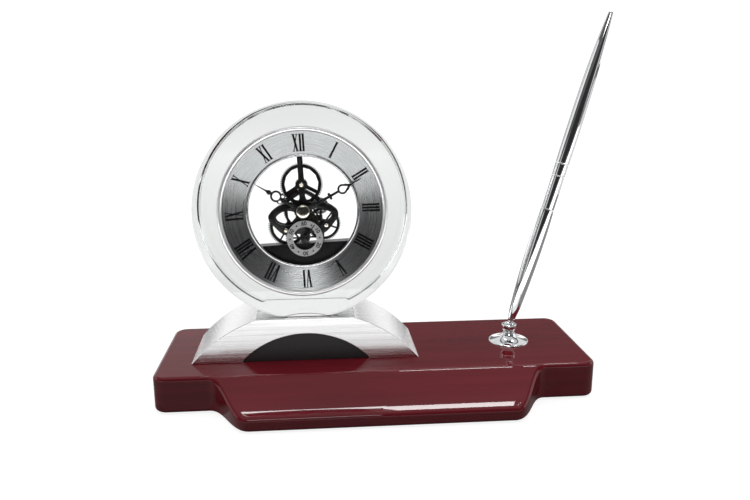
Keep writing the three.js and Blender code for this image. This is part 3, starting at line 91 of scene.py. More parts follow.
# Arch and its panel
ARCH_X = -37.5
ARCH_FRONT = -8
ARCH_BACK = 36
ARCH_HALF_CHORD = 60
ARCH_RADIUS = 79
ARCH_FLAT_HALF = 25.15
TUNNEL_HALF_CHORD = 34.2
TUNNEL_HEIGHT = 15.1
PANEL_SIDE_GAP = 0.6
PANEL_TOP_GAP = 0.3
PANEL_RECESS = 0.8
PANEL_THICKNESS = 1.5

# Crystal disc
DISC_RADIUS = 56.6
DISC_DEPTH = 38
DISC_CHAMFER = 1
DISC_STEPS = 240
DISC_FLAT = 43.8
DISC_CENTRE = (ARCH_X, 0.257, 98.4)
DISC_LEAN = 5.5
BORE_RADIUS = 43.2
BORE_CHAMFER = 0.5

# Clock insert
INSERT_TURN = 2.6
BEZEL_RADIUS = 42.62
BEZEL_HALF_WIDTH = 1.37
BEZEL_RISE = 1.15
BEZEL_FOOT = -0.35
BEZEL_BACK = -0.3
LENS_RADIUS = 41.7
LENS_HALF = 0.6
RING_INNER = 28.3
RING_RIM = 1.6
RING_LIP = 0.4
RING_FRONT = 0.9
RING_DISH = 4.6
RING_THICKNESS = 0.8
RING_SLOPE = RING_DISH / (LENS_RADIUS - RING_INNER)
RING_STEPS = 240
RIM_STEPS = 200
NUMERAL_FOOT = 31.0
NUMERAL_HEIGHT = 8.9
NUMERAL_LIFTS = (0.02, -0.05)

# Hands: the places they show, in degrees from XII, and where they lie from front to back
HOUR_ANGLE = -56.9
MINUTE_ANGLE = 63.8
SECOND_ANGLE = 38
HOUR_DEPTHS = (3.2, 3.7)
MINUTE_DEPTHS = (2.3, 2.8)
SECOND_DEPTHS = (4.1, 4.6)
HAND_BOSS = 2.9
HUB_RADIUS = 1.4
HUB_DEPTHS = (4.0, 5.5)

# Seconds dial
SECONDS_DROP = 14.4
DIAL_INNER = 6.1
DIAL_OUTER = 9.5
DIAL_DEPTHS = (5.0, 5.6)
DIAL_POST_BEARINGS = (30, 150, 270)
DIAL_POST_REACH = 7.9
DIAL_POST_RADIUS = 0.6
DIAL_POST_DEPTHS = (5.3, 7.8)
FIGURE_REACH = 7.8
FIGURE_SIZE = 2.9
FIGURE_DEPTH = 4.99
FIGURE_HALF_THICKNESS = 0.02
FIGURE_BOLDNESS = 0.07
MARK_RADIUS = 0.42

# Distances between the movement's axes, mostly as a module times the teeth of both wheels, halved
CENTRE_TO_THIRD = 0.342 * 69 / 2
THIRD_TO_SECONDS = 0.262 * 80 / 2
CENTRE_TO_INTERMEDIATE = 13.04
INTERMEDIATE_TO_SECONDS = 0.32 * 76 / 2
CENTRE_TO_TOP = 0.342 * 80 / 2

# Toothed rims, whose tooth widths are shares of the pitch
TOOTH_FOOT_HALF = 0.3
TOOTH_TIP_HALF = 0.14
RIM_PROUD = 0.03

# Bevels on the movement's pieces
PLATE_BEVEL = 0.4
SCREW_BEVEL = 0.15
KNOB_BEVEL = 0.25

# Coil
COIL_CORE = 1.45
COIL_RADIUS = 1.86
COIL_RIPPLE = 0.07
COIL_HALF_LENGTH = 2.75
COIL_TURNS = 26
COIL_TILT = 30

# Pen holder and pen
HOLDER_PLACE = (76.9, 11.6, BASE_TOP)
BALL_HEIGHT = 8.6
BALL_RADIUS = 2.9
BALL_BORE = 1.45
PEN_LEAN = 15.3
PEN_BORE = 1.75


def shift(x, y, z):
    return Matrix.Translation(Vector((x, y, z)) * MM)


def rotation(degrees, axis):
    return Matrix.Rotation(math.radians(degrees), 4, axis)


IDENTITY = Matrix.Identity(4)
DISC_MATRIX = shift(*DISC_CENTRE) @ rotation(-DISC_LEAN, "X")
INSERT_MATRIX = DISC_MATRIX @ rotation(-INSERT_TURN, "Y")
SECONDS_MATRIX = INSERT_MATRIX @ shift(0, 0, -SECONDS_DROP)
HOLDER_MATRIX = shift(*HOLDER_PLACE)
PEN_MATRIX = HOLDER_MATRIX @ shift(0, 0, BALL_HEIGHT) @ rotation(PEN_LEAN, "Y")


# Outlines

NEARLY_STRAIGHT = math.radians(165)
LONGEST_ROUNDING = 0.45


def arc(x, y, radius, start, end, steps):
    angles = [start + (end - start) * i / steps for i in range(steps + 1)]
    return [(x + radius * math.cos(a), y + radius * math.sin(a)) for a in angles]


def circle(x, y, radius, steps):
    return arc(x, y, radius, 0, TURN, steps)[:-1]


def bezier(p0, p1, p2, p3, steps):
    points = []
    for i in range(steps + 1):
        t = i / steps
        weights = ((1 - t) ** 3, 3 * t * (1 - t) ** 2, 3 * t * t * (1 - t), t ** 3)
        points.append(tuple(sum(w * p[k] for w, p in zip(weights, (p0, p1, p2, p3))) for k in (0, 1)))
    return points


def spline(points, steps):
    """A Catmull-Rom curve through the points."""
    path = [points[0], *points, points[-1]]
    curve = []
    for i in range(1, len(path) - 2):
        neighbours = path[i - 1:i + 3]
        for k in range(steps):
            t = k / steps
            curve.append(tuple(
                0.5 * (2 * q + (r - p) * t + (2 * p - 5 * q + 4 * r - s) * t * t
                       + (3 * q - p - 3 * r + s) * t ** 3)
                for p, q, r, s in zip(*neighbours)
            ))
    return [*curve, points[-1]]


def soften(points, radius, steps=3, closed=True):
    """Rounds the corners of an outline."""
    result = []
    count = len(points)
    for i, corner in enumerate(points):
        if not closed and i in (0, count - 1):
            result.append(corner)
            continue
        here = Vector(corner)
        before, after = Vector(points[i - 1]) - here, Vector(points[(i + 1) % count]) - here
        if before.angle(after, math.pi) > NEARLY_STRAIGHT:
            result.append(corner)
            continue
        reach = min(radius, LONGEST_ROUNDING * before.length, LONGEST_ROUNDING * after.length)
        start, end = here + before.normalized() * reach, here + after.normalized() * reach
        for k in range(steps + 1):
            t = k / steps
            result.append(tuple((1 - t) ** 2 * start + 2 * t * (1 - t) * here + t * t * end))
    return result


# Meshes

WELD = 2e-7
COPLANAR = math.radians(0.5)
BEVEL_FROM = math.radians(40)


def put(name, data):
    """Adds an object to the scene."""
    obj = bpy.data.objects.new(name, data)
    bpy.context.scene.collection.objects.link(obj)
    return obj


@contextlib.contextmanager
def edited(mesh):
    """Opens a mesh for editing and writes it back."""
    form = bmesh.new()
    form.from_mesh(mesh)
    yield form
    form.to_mesh(mesh)
    form.free()


def evaluated(obj):
    """The mesh that an object's modifiers, curve or text give."""
    bpy.context.view_layer.update()
    return bpy.data.meshes.new_from_object(obj.evaluated_get(bpy.context.evaluated_depsgraph_get()))


def apply_modifiers(obj):
    made = evaluated(obj)
    obj.modifiers.clear()
    obj.data = made


def curve_mesh(name, curve):
    """The mesh of a curve or text, without keeping its object."""
    guide = put(name, curve)
    mesh = evaluated(guide)
    bpy.data.objects.remove(guide)
    return mesh


def shade(mesh, sharp):
    """Soft shading with sharp edges from an angle in degrees."""
    mesh.shade_smooth()
    mesh.set_sharp_from_angle(angle=math.radians(sharp))


def settle(mesh, name, place, sharp=30, weighted=True):
    """Makes an object of a mesh, with welded corners and outward faces."""
    with edited(mesh) as form:
        bmesh.ops.remove_doubles(form, verts=form.verts, dist=WELD)
        bmesh.ops.recalc_face_normals(form, faces=form.faces)
    shade(mesh, sharp)
    obj = put(name, mesh)
    obj.matrix_world = place
    if weighted:
        obj.modifiers.new("weighted", "WEIGHTED_NORMAL").keep_sharp = True
        apply_modifiers(obj)
    return obj


def mesh_of(name, verts, faces):
    mesh = bpy.data.meshes.new(name)
    mesh.from_pydata([tuple(c * MM for c in v) for v in verts], [], faces)
    return mesh


def turned_mesh(name, profile, steps, axis="Y", closed=True):
    """A profile of radius and place along the axis, turned round it."""
    verts, faces = [], []
    count = len(profile)
    for i in range(steps):
        c, s = math.cos(TURN * i / steps), math.sin(TURN * i / steps)
        for radius, along in profile:
            x, y = radius * c, radius * s
            verts.append((x, along, y) if axis == "Y" else (x, y, along))
        here, there = i * count, (i + 1) % steps * count
        for k in range(count if closed else count - 1):
            after = (k + 1) % count
            faces.append((here + k, here + after, there + after, there + k))
    return mesh_of(name, verts, faces)


def lathe(name, profile, place, steps=160, axis="Y", closed=True, sharp=30):
    return settle(turned_mesh(name, profile, steps, axis, closed), name, place, sharp)


def signed_area(loop):
    return sum(a[0] * b[1] - b[0] * a[1] for a, b in zip(loop, loop[1:] + loop[:1])) / 2


def slab(name, loops, front, back, place, bevel, bevel_steps=2, sharp=30):
    """An outline in X and Z, with holes, that runs back along Y and has rounded edges."""
    curve = bpy.data.curves.new(name, "CURVE")
    curve.dimensions = "2D"
    curve.fill_mode = "BOTH"
    curve.extrude = ((back - front) / 2 - bevel) * MM
    curve.bevel_depth = bevel * MM
    curve.bevel_resolution = bevel_steps
    curve.offset = -bevel * MM
    for i, loop in enumerate(loops):
        if (signed_area(loop) > 0) != (i == 0):
            loop = loop[::-1]
        line = curve.splines.new("POLY")
        line.points.add(len(loop) - 1)
        for point, (x, y) in zip(line.points, loop):
            point.co = (x * MM, y * MM, 0, 1)
        line.use_cyclic_u = True
    mesh = curve_mesh(name + "_guide", curve)
    mesh.transform(shift(0, (front + back) / 2, 0) @ rotation(90, "X"))
    return settle(mesh, name, place, sharp)


def bevelled_copy(name, node, width, edge_paint=None):
    """A CAD node's shape with narrow bevels on its edges, in a second paint where one is given."""
    mesh = nodes[node].data.copy()
    mesh.materials.clear()
    with edited(mesh) as form:
        bmesh.ops.remove_doubles(form, verts=form.verts, dist=WELD)
        bmesh.ops.dissolve_limit(form, angle_limit=COPLANAR, verts=form.verts, edges=form.edges)
    obj = put(name, mesh)
    modifier = obj.modifiers.new("bevel", "BEVEL")
    modifier.width = width * MM
    modifier.segments = 2
    modifier.limit_method = "ANGLE"
    modifier.angle_limit = BEVEL_FROM
    modifier.use_clamp_overlap = True
    if edge_paint is not None:
        mesh.materials.append(None)
        mesh.materials.append(edge_paint)
        modifier.material = 1
    apply_modifiers(obj)
    shade(obj.data, 30)
    return obj


def dress(obj, paint, node=None, body=None):
    """Paints a piece, lets it ride on its body and stand for its node."""
    # On the pen and the ball a piece has its place in its mesh, as a CAD node does.
    if body_of.get(node) in ("pen", "ball_mount"):
        obj.data.transform(obj.matrix_world)
        obj.matrix_world = IDENTITY
    if len(obj.data.materials):
        obj.data.materials[0] = paint
    else:
        obj.data.materials.append(paint)
    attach(obj, body or body_of[node])
    if node:
        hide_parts(node)


# Paints: a noise scale is in cycles per metre, and a bump's distance in metres

class Paint:
    """A material built node by node round one Principled shader."""

    def __init__(self, name, color, roughness, metallic=0.0, **sockets):
        self.material = bpy.data.materials.new(name)
        self.material.use_nodes = True
        self.tree = self.material.node_tree
        self.shader = self.tree.nodes["Principled BSDF"]
        self.place = self.node("ShaderNodeTexCoord").outputs["Object"]
        self.set(self.shader, **{"Base Color": (*color, 1), "Roughness": roughness, "Metallic": metallic})
        self.set(self.shader, **sockets)

    def node(self, kind, **settings):
        made = self.tree.nodes.new(kind)
        for key, value in settings.items():
            setattr(made, key, value)
        return made

    def set(self, node, **values):
        for key, value in values.items():
            node.inputs[key].default_value = value

    def link(self, source, node, key):
        self.tree.links.new(source, node.inputs[key])

    def times(self, source, factor):
        made = self.node("ShaderNodeMath", operation="MULTIPLY")
        made.inputs[1].default_value = factor
        self.link(source, made, 0)
        return made.outputs[0]

    def turned(self, radial, across):
        """Coordinates that follow circles round the Y axis."""
        parts = self.node("ShaderNodeSeparateXYZ")
        self.link(self.place, parts, "Vector")
        flat = self.node("ShaderNodeCombineXYZ")
        self.link(parts.outputs["X"], flat, "X")
        self.link(parts.outputs["Z"], flat, "Y")
        length = self.node("ShaderNodeVectorMath", operation="LENGTH")
        self.link(flat.outputs[0], length, 0)
        ring = self.node("ShaderNodeCombineXYZ")
        self.link(self.times(length.outputs["Value"], radial), ring, "X")
        self.link(self.times(parts.outputs["X"], across), ring, "Y")
        self.link(self.times(parts.outputs["Z"], across), ring, "Z")
        return ring.outputs[0]

    def noise(self, vector, detail, rough=0.5):
        made = self.node("ShaderNodeTexNoise")
        self.set(made, Scale=1.0, Detail=detail, Roughness=rough)
        self.link(vector, made, "Vector")
        return made.outputs["Fac"]

    def grain(self, scale, detail, rough=0.5):
        """Noise with its own scale along each axis."""
        mapping = self.node("ShaderNodeMapping")
        mapping.inputs["Scale"].default_value = scale
        self.link(self.place, mapping, "Vector")
        return self.noise(mapping.outputs["Vector"], detail, rough)

    def ramp(self, source, stops):
        made = self.node("ShaderNodeValToRGB")
        ramp = made.color_ramp
        while len(ramp.elements) < len(stops):
            ramp.elements.new(0.5)
        for element, (at, color) in zip(ramp.elements, stops):
            element.position = at
            element.color = (*color, 1)
        self.link(source, made, "Fac")
        return made.outputs["Color"]

    def color(self, source, stops):
        self.link(self.ramp(source, stops), self.shader, "Base Color")

    def tint(self, source, low, high, dark=0.3):
        self.color(source, [(dark, low), (1 - dark, high)])

    def span(self, source, dark, bright, low, high):
        """A number that goes from low to high as the source goes from dark to bright."""
        made = self.node("ShaderNodeMapRange")
        self.set(made, **{"From Min": dark, "From Max": bright, "To Min": low, "To Max": high})
        self.link(source, made, "Value")
        return made.outputs["Result"]

    def gloss(self, source, low, high):
        self.link(self.span(source, 0.3, 0.7, low, high), self.shader, "Roughness")

    def bump(self, source, distance, strength):
        made = self.node("ShaderNodeBump")
        self.set(made, Strength=strength, Distance=distance)
        self.link(source, made, "Height")
        self.link(made.outputs["Normal"], self.shader, "Normal")


def shades(color, low, high):
    return tuple(c * low for c in color), tuple(c * high for c in color)


def capped(color):
    return tuple(min(1.0, c) for c in color)


def rosewood_paint():
    paint = Paint("rosewood_lacquer", (0.09, 0.004, 0.008), 0.35, **{
        "Coat Weight": 1.0, "Coat Roughness": 0.012, "Coat IOR": 1.42, "Specular IOR Level": 0.0,
    })
    grain_share = 0.6
    grain = paint.grain((9, 160, 260), 6, 0.6)
    cloud = paint.grain((12, 24, 24), 2)
    mixed = paint.node("ShaderNodeMath", operation="MULTIPLY_ADD")
    mixed.inputs[1].default_value = grain_share
    paint.link(grain, mixed, 0)
    paint.link(paint.times(cloud, 1 - grain_share), mixed, 2)
    paint.color(mixed.outputs[0], [
        (0.3, (0.125, 0.006, 0.0115)), (0.5, (0.165, 0.0085, 0.016)), (0.7, (0.205, 0.0115, 0.0205)),
    ])
    paint.gloss(grain, 0.28, 0.42)
    paint.bump(cloud, 0.00002, 0.2)
    return paint.material


def speckled(name, color, roughness, metallic=0.0, scale=900.0, contrast=0.25, bump=0.00001, **sockets):
    """A plain finish with fine grain in its colour, gloss and surface."""
    paint = Paint(name, color, roughness, metallic, **sockets)
    grain = paint.grain((scale, scale, scale), 4)
    low, high = shades(color, 1 - contrast, 1 + contrast)
    paint.tint(grain, low, high)
    paint.gloss(grain, roughness * 0.8, min(1.0, roughness * 1.25))
    paint.bump(grain, bump, 0.6)
    return paint.material


def aluminium_paint():
    """Aluminium brushed along the X axis."""
    color, roughness, contrast = (0.95, 0.955, 0.96), 0.23, 0.26
    paint = Paint("brushed_aluminium", color, roughness, 1.0, **{
        "Anisotropic": 0.35, "Anisotropic Rotation": 0.25,
    })
    grain = paint.grain((12, 1050, 1050), 5, 0.65)
    low, high = shades(color, 1 - contrast, 1 + contrast)
    paint.tint(grain, low, capped(high))
    paint.gloss(grain, roughness * 0.8, roughness * 1.3)
    paint.bump(grain, 0.00001, 0.5)
    along = paint.node("ShaderNodeCombineXYZ")
    along.inputs["X"].default_value = 1
    paint.link(along.outputs[0], paint.shader, "Tangent")
    return paint.material


def spun(name, color, roughness, anisotropic, contrast=0.1, bump=0.000005):
    """Metal turned or brushed in circles round the Y axis."""
    paint = Paint(name, color, roughness, 1.0, **{
        "Anisotropic": anisotropic, "Anisotropic Rotation": 0.25,
    })
    grain = paint.noise(paint.turned(2600, 40), 3, 0.6)
    low, high = shades(color, 1 - contrast, 1 + contrast)
    paint.tint(grain, low, capped(high))
    paint.gloss(grain, roughness * 0.85, roughness * 1.2)
    paint.bump(grain, bump, 0.5)
    tangent = paint.node("ShaderNodeTangent", direction_type="RADIAL", axis="Y")
    paint.link(tangent.outputs["Tangent"], paint.shader, "Tangent")
    return paint.material


def polished(name, color, roughness):
    """Mirror-bright metal with faint polishing marks."""
    paint = Paint(name, color, roughness, 1.0)
    marks = paint.grain((350, 350, 350), 5)
    low, high = shades(color, 0.96, 1.03)
    paint.tint(marks, low, capped(high), 0.35)
    paint.gloss(marks, roughness * 0.6, roughness * 1.6)
    paint.bump(marks, 0.0000002, 0.1)
    return paint.material


def smooth_silver():
    """Bright satin plating with hardly any marks."""
    paint = Paint("bezel_silver", (1, 1, 1), 0.3, 0.75)
    marks = paint.grain((120, 120, 120), 3)
    paint.tint(marks, (0.97, 0.975, 0.985), (1, 1, 1), 0.35)
    paint.gloss(marks, 0.29, 0.31)
    return paint.material


def clear(name, color, roughness, ior, tint):
    """Clear glass with a faint tint and polishing marks."""
    paint = Paint(name, color, roughness, 0.0, **{"Transmission Weight": 1.0, "IOR": ior})
    marks = paint.grain((25, 25, 25), 3)
    paint.tint(marks, tint, color, 0.35)
    paint.gloss(marks, 0.0, roughness)
    return paint.material


def thin_clear(name, color, gloss):
    """A thin clear sheet that lets light straight through and shines more at a glancing view."""
    paint = Paint(name, (0.5, 0.5, 0.5), 0.03)
    clear_part = paint.node("ShaderNodeBsdfTransparent")
    marks = paint.grain((60, 60, 60), 3)
    darker = shades(color, 0.985, 1)[0]
    paint.link(paint.ramp(marks, [(0.35, darker), (0.65, color)]), clear_part, "Color")
    shine = paint.node("ShaderNodeBsdfGlossy")
    paint.set(shine, Roughness=0.02)
    edge = paint.node("ShaderNodeFresnel")
    paint.set(edge, IOR=1.3)
    mixed = paint.node("ShaderNodeMixShader")
    paint.link(paint.times(edge.outputs[0], gloss), mixed, 0)
    paint.link(clear_part.outputs[0], mixed, 1)
    paint.link(shine.outputs[0], mixed, 2)
    paint.link(mixed.outputs[0], paint.tree.nodes["Material Output"], "Surface")
    paint.tree.nodes.remove(paint.shader)
    return paint.material


ROSEWOOD = rosewood_paint()
FELT = speckled("felt", (0.02, 0.02, 0.021), 0.95, scale=1600, contrast=0.6, bump=0.00012)
PANEL_BLACK = speckled("black_panel", (0.022, 0.02, 0.021), 0.5, scale=700, contrast=0.3, bump=0.00002)
STEEL = speckled("steel", (0.5, 0.5, 0.51), 0.3, 1.0, scale=500, contrast=0.1)
CRYSTAL = clear("crystal", (0.715, 0.728, 0.718), 0.012, 1.5, (0.7, 0.717, 0.705))
CHROME = polished("chrome", (0.82, 0.83, 0.84), 0.04)
BEZEL_METAL = smooth_silver()
RING_SILVER = spun("chapter_silver", (0.34, 0.345, 0.348), 0.28, 0.5, contrast=0.02, bump=0.0000002)
RIM_SILVER = polished("rim_silver", (0.86, 0.855, 0.87), 0.16)
CASE_SILVER = spun("case_silver", (0.9, 0.91, 0.92), 0.25, 0.5)
DIAL_SILVER = speckled(
    "dial_silver", (0.97, 0.97, 0.97), 0.4, 0.1, scale=1500, contrast=0.06, bump=0.000001,
)
LENS = thin_clear("lens_glass", (0.995, 1.0, 0.998), 0.5)
COVER_PLASTIC = thin_clear("clear_plastic", (0.985, 0.99, 0.99), 0.4)
RUBBER = speckled("clear_rubber", (0.75, 0.76, 0.75), 0.6, scale=500, contrast=0.05)
PLATE_BLACK = speckled(
    "black_metal", (0.009, 0.008, 0.0078), 0.34, 0.1, contrast=0.4, **{"Specular IOR Level": 0.35},
)
# Pale paint for the front plate's bevels: a painted highlight along its cut edges, where light would catch
# them
EDGE_HIGHLIGHT_PAINT = speckled("painted_edge_highlight", (0.95, 0.93, 0.9), 0.4, 0.4, contrast=0.15, bump=0.000002)
HAND_BLACK = speckled("hand_black", (0.008, 0.008, 0.008), 0.3, scale=800, contrast=0.3)
PRINT_BLACK = speckled(
    "print_black", (0.003, 0.003, 0.0032), 0.7, scale=1500, contrast=0.3, **{"Specular IOR Level": 0.15},
)
WHEEL_DARK = speckled("wheel_nickel", (0.022, 0.02, 0.018), 0.33, 0.8, scale=1100, contrast=0.35)
NICKEL = polished("nickel", (0.68, 0.64, 0.56), 0.12)
COPPER = speckled("copper_wire", (0.2, 0.07, 0.035), 0.35, 0.7, contrast=0.3)
MAGNET = speckled("magnet", (0.12, 0.12, 0.13), 0.35, 0.8, scale=800, contrast=0.2)
BLACK_PLASTIC = speckled(
    "black_plastic", (0.009, 0.009, 0.0095), 0.5, scale=1200, contrast=0.3, bump=0.000004, IOR=1.16,
)
BOX_BLACK = speckled(
    "box_black", (0.012, 0.012, 0.0125), 0.32, scale=1200, contrast=0.3, bump=0.000002, IOR=1.3,
)
BATTERY = speckled("battery_jacket", (0.1, 0.11, 0.12), 0.35, 0.3, scale=500, contrast=0.15)
BOARD = speckled("circuit_board", (0.02, 0.08, 0.04), 0.5, contrast=0.3)
ALUMINIUM = aluminium_paint()

NODE_PAINTS = {
    "felt_pad": FELT, "arch_screw_left": STEEL, "arch_screw_right": STEEL,
    "case_shell": CASE_SILVER, "grip_gasket": RUBBER, "rear_cover": COVER_PLASTIC,
    "battery_door": BLACK_PLASTIC, "centre_wheel": WHEEL_DARK, "third_wheel": WHEEL_DARK,
    "seconds_wheel": WHEEL_DARK, "intermediate_wheel": WHEEL_DARK, "rotor": MAGNET,
    "top_wheel": WHEEL_DARK, "centre_arbor": STEEL, "minute_wheel": WHEEL_DARK, "hour_wheel": WHEEL_DARK,
    "back_plate": PLATE_BLACK, "top_pillar": PLATE_BLACK, "battery_box": BOX_BLACK,
    "battery_cell": BATTERY, "battery_contact_left": STEEL, "battery_contact_right": STEEL,
    "stator": STEEL, "coil_bobbin": BLACK_PLASTIC, "circuit_module": BOARD,
    "ball_seat": BLACK_PLASTIC, "holder_nut": STEEL, "holder_washer": STEEL, "pen_refill": STEEL,
}
for node, paint in NODE_PAINTS.items():
    mesh = nodes[node].data
    mesh.materials.clear()
    mesh.materials.append(paint)


# Wooden base

def eased(t, first, second):
    """A Bezier curve from 0 to 1 with the two inner values given."""
    return 3 * t * (1 - t) ** 2 * first + 3 * t * t * (1 - t) * second + t ** 3


def ramp_height(y):
    """The height of the top face: flat, then down a slightly hollow ramp to the lip."""
    run, drop = RAMP_BACK - BASE_FRONT, BASE_TOP - LIP_TOP
    slope = RAMP_DROP[0] / RAMP_RUN[0] * drop / run
    if y >= RAMP_BACK + CREASE_HALF:
        return BASE_TOP
    if y > RAMP_BACK - CREASE_HALF:
        return BASE_TOP - slope * (RAMP_BACK + CREASE_HALF - y) ** 2 / (4 * CREASE_HALF)
    low, high = 0.0, 1.0
    for _ in range(RAMP_HALVINGS):
        t = (low + high) / 2
        low, high = (t, high) if RAMP_BACK - run * eased(t, *RAMP_RUN) > y else (low, t)
    return BASE_TOP - drop * eased(t, *RAMP_DROP)


def half_plan(inset):
    """The right half of the base's outline, from the front to the back."""
    right, back = BASE_HALF_WIDTH - inset, BASE_BACK - inset
    front, shoulder = BASE_FRONT + inset, BASE_SHOULDER + inset
    corner = BASE_CORNER - inset
    tongue = TONGUE_HALF - inset
    flare = tongue + TONGUE_FLARE
    s_curve = bezier(
        (tongue, front), (tongue + TONGUE_FLARE * FLARE_HANDLES[0], front),
        (flare - TONGUE_FLARE * FLARE_HANDLES[1], shoulder), (flare, shoulder), FLARE_STEPS,
    )
    return [
        *s_curve,
        *arc(right - corner, shoulder + corner, corner, -math.pi / 2, 0, BASE_CORNER_STEPS),
        *arc(right - corner, back - corner, corner, 0, math.pi / 2, BASE_CORNER_STEPS),
    ]


def wooden_base():
    edge_shares = [
        (math.cos(math.pi / 2 * k / BASE_EDGE_STEPS), math.sin(math.pi / 2 * k / BASE_EDGE_STEPS))
        for k in range(BASE_EDGE_STEPS + 1)
    ]
    rings = []
    for c, s in edge_shares:
        bottom = BASE_BOTTOM + BASE_EDGE * (1 - c)
        rings.append([(x, y, bottom) for x, y in half_plan(BASE_EDGE * (1 - s))])
    for c, s in edge_shares:
        below = BASE_EDGE * (1 - s)
        rings.append([(x, y, ramp_height(y) - below) for x, y in half_plan(BASE_EDGE * (1 - c))])
    half = len(rings[0])
    verts = []
    for ring in rings:
        verts += ring + [(-x, y, z) for x, y, z in ring]
    faces = []
    for k in range(len(rings) - 1):
        low, high = 2 * half * k, 2 * half * (k + 1)
        for i in range(half - 1):
            faces.append((low + i, low + i + 1, high + i + 1, high + i))
            faces.append((low + half + i + 1, low + half + i, high + half + i, high + half + i + 1))
        faces.append((low + half, low, high, high + half))
        faces.append((low + half - 1, low + 2 * half - 1, high + 2 * half - 1, high + half - 1))
    # The top is faced in strips across. The shoulder's own has no depth, so the next takes in its ends.
    last = 2 * half * (len(rings) - 1)
    shoulder = FLARE_STEPS
    for i in range(half - 1):
        if i == shoulder:
            continue
        strip = [last + i, last + i + 1, last + half + i + 1, last + half + i]
        if i == shoulder + 1:
            strip += [last + half + shoulder, last + shoulder]
        faces.append(tuple(strip))
    bottom = list(range(half)) + [half + i for i in reversed(range(half))]
    faces.append(tuple(reversed(bottom)))
    return settle(mesh_of("lacquered_base", verts, faces), "lacquered_base", IDENTITY, 40)


dress(wooden_base(), ROSEWOOD, "wooden_base")


# Arch and its panel

def chord_arc(half_chord, radius, flat_half=0.0, steps=40):
    """An arc from right to left over a chord on the base, with a flat in its middle if one is given."""
    middle = BASE_TOP - math.sqrt(radius ** 2 - half_chord ** 2)
    foot, flat = math.asin(half_chord / radius), math.asin(flat_half / radius)
    right = arc(ARCH_X, middle, radius, math.pi / 2 - foot, math.pi / 2 - flat, steps)
    left = arc(ARCH_X, middle, radius, math.pi / 2 + flat, math.pi / 2 + foot, steps)
    return right + (left if flat_half else left[1:])


def chord_radius(half_chord, height):
    return (half_chord ** 2 + height ** 2) / (2 * height)


tunnel_radius = chord_radius(TUNNEL_HALF_CHORD, TUNNEL_HEIGHT)
arch_outline = (
    chord_arc(ARCH_HALF_CHORD, ARCH_RADIUS, ARCH_FLAT_HALF)
    + chord_arc(TUNNEL_HALF_CHORD, tunnel_radius)[::-1]
)
arch = slab("brushed_arch", [arch_outline], ARCH_FRONT, ARCH_BACK, IDENTITY, 0.35, 2, 20)
dress(arch, ALUMINIUM, "aluminium_arch")

panel_half = TUNNEL_HALF_CHORD - PANEL_SIDE_GAP
panel_outline = chord_arc(panel_half, chord_radius(panel_half, TUNNEL_HEIGHT - PANEL_TOP_GAP))
panel_front = ARCH_FRONT + PANEL_RECESS
panel = slab("tunnel_panel", [panel_outline], panel_front, panel_front + PANEL_THICKNESS, IDENTITY, 0.15)
dress(panel, PANEL_BLACK, "arch_panel")


# Crystal disc

def crystal_disc():
    """A bored disc whose foot is cut off along the arch's level flat."""
    rim, mouth = DISC_RADIUS - DISC_CHAMFER, BORE_RADIUS + BORE_CHAMFER
    profile = [
        (mouth, 0), (rim, 0), (DISC_RADIUS, DISC_CHAMFER), (DISC_RADIUS, DISC_DEPTH - DISC_CHAMFER),
        (rim, DISC_DEPTH), (mouth, DISC_DEPTH), (BORE_RADIUS, DISC_DEPTH - BORE_CHAMFER),
        (BORE_RADIUS, BORE_CHAMFER),
    ]
    mesh = turned_mesh("crystal_block", profile, DISC_STEPS)
    to_disc = DISC_MATRIX.inverted()
    with edited(mesh) as form:
        sliced = bmesh.ops.bisect_plane(
            form, geom=form.verts[:] + form.edges[:] + form.faces[:], clear_inner=True,
            plane_co=to_disc @ Vector((0, 0, DISC_FLAT * MM)),
            plane_no=to_disc.to_3x3() @ Vector((0, 0, 1)),
        )
        rim_edges = [e for e in sliced["geom_cut"] if isinstance(e, bmesh.types.BMEdge)]
        bmesh.ops.edgenet_fill(form, edges=rim_edges)
    return settle(mesh, "crystal_block", DISC_MATRIX, 25)


dress(crystal_disc(), CRYSTAL, "crystal_disc")


# Bezel, lens and chapter ring

crown = [
    (BEZEL_RADIUS + BEZEL_HALF_WIDTH * math.cos(a), BEZEL_FOOT - BEZEL_RISE * math.sin(a))
    for a in [math.pi * k / 16 for k in range(17)]
]
bezel_profile = [
    *crown, (BEZEL_RADIUS - BEZEL_HALF_WIDTH, BEZEL_BACK), (42.0, BEZEL_BACK),
    (BEZEL_RADIUS + BEZEL_HALF_WIDTH, BEZEL_BACK),
]
dress(lathe("bezel_ring", bezel_profile, INSERT_MATRIX, RIM_STEPS), BEZEL_METAL, "bezel")

lens_section = [(0, -LENS_HALF), (LENS_RADIUS, -LENS_HALF), (LENS_RADIUS, LENS_HALF), (0, LENS_HALF)]
lens = lathe("lens_disc", soften(lens_section, 0.2, 2, closed=False), INSERT_MATRIX, closed=False)
dress(lens, LENS, "front_lens")


def ring_depth(radius):
    return RING_FRONT + RING_SLOPE * (LENS_RADIUS - radius)


rim_outer = RING_INNER + RING_RIM
lip = RING_INNER + RING_LIP
ring_profile = [
    (LENS_RADIUS, RING_FRONT), (LENS_RADIUS, RING_FRONT + RING_THICKNESS),
    (lip, ring_depth(RING_INNER) + RING_THICKNESS), (lip, ring_depth(rim_outer) + 0.2),
    (rim_outer - 0.6, ring_depth(rim_outer - 0.6)),
]
ring = lathe("chapter_plate", ring_profile, INSERT_MATRIX, RING_STEPS)
dress(ring, RING_SILVER, "chapter_ring")

bead_front = ring_depth(rim_outer) - 0.5
bead_profile = soften([
    (RING_INNER, bead_front + 0.35), (RING_INNER + 0.35, bead_front), (rim_outer - 0.5, bead_front),
    (rim_outer, bead_front + 0.5), (rim_outer - 0.35, bead_front + 0.75), (lip, bead_front + 1.3),
    (RING_INNER, bead_front + 1.3),
], 0.25)
bead = lathe("opening_rim", bead_profile, INSERT_MATRIX, RIM_STEPS)
dress(bead, RIM_SILVER, body="clock_insert")

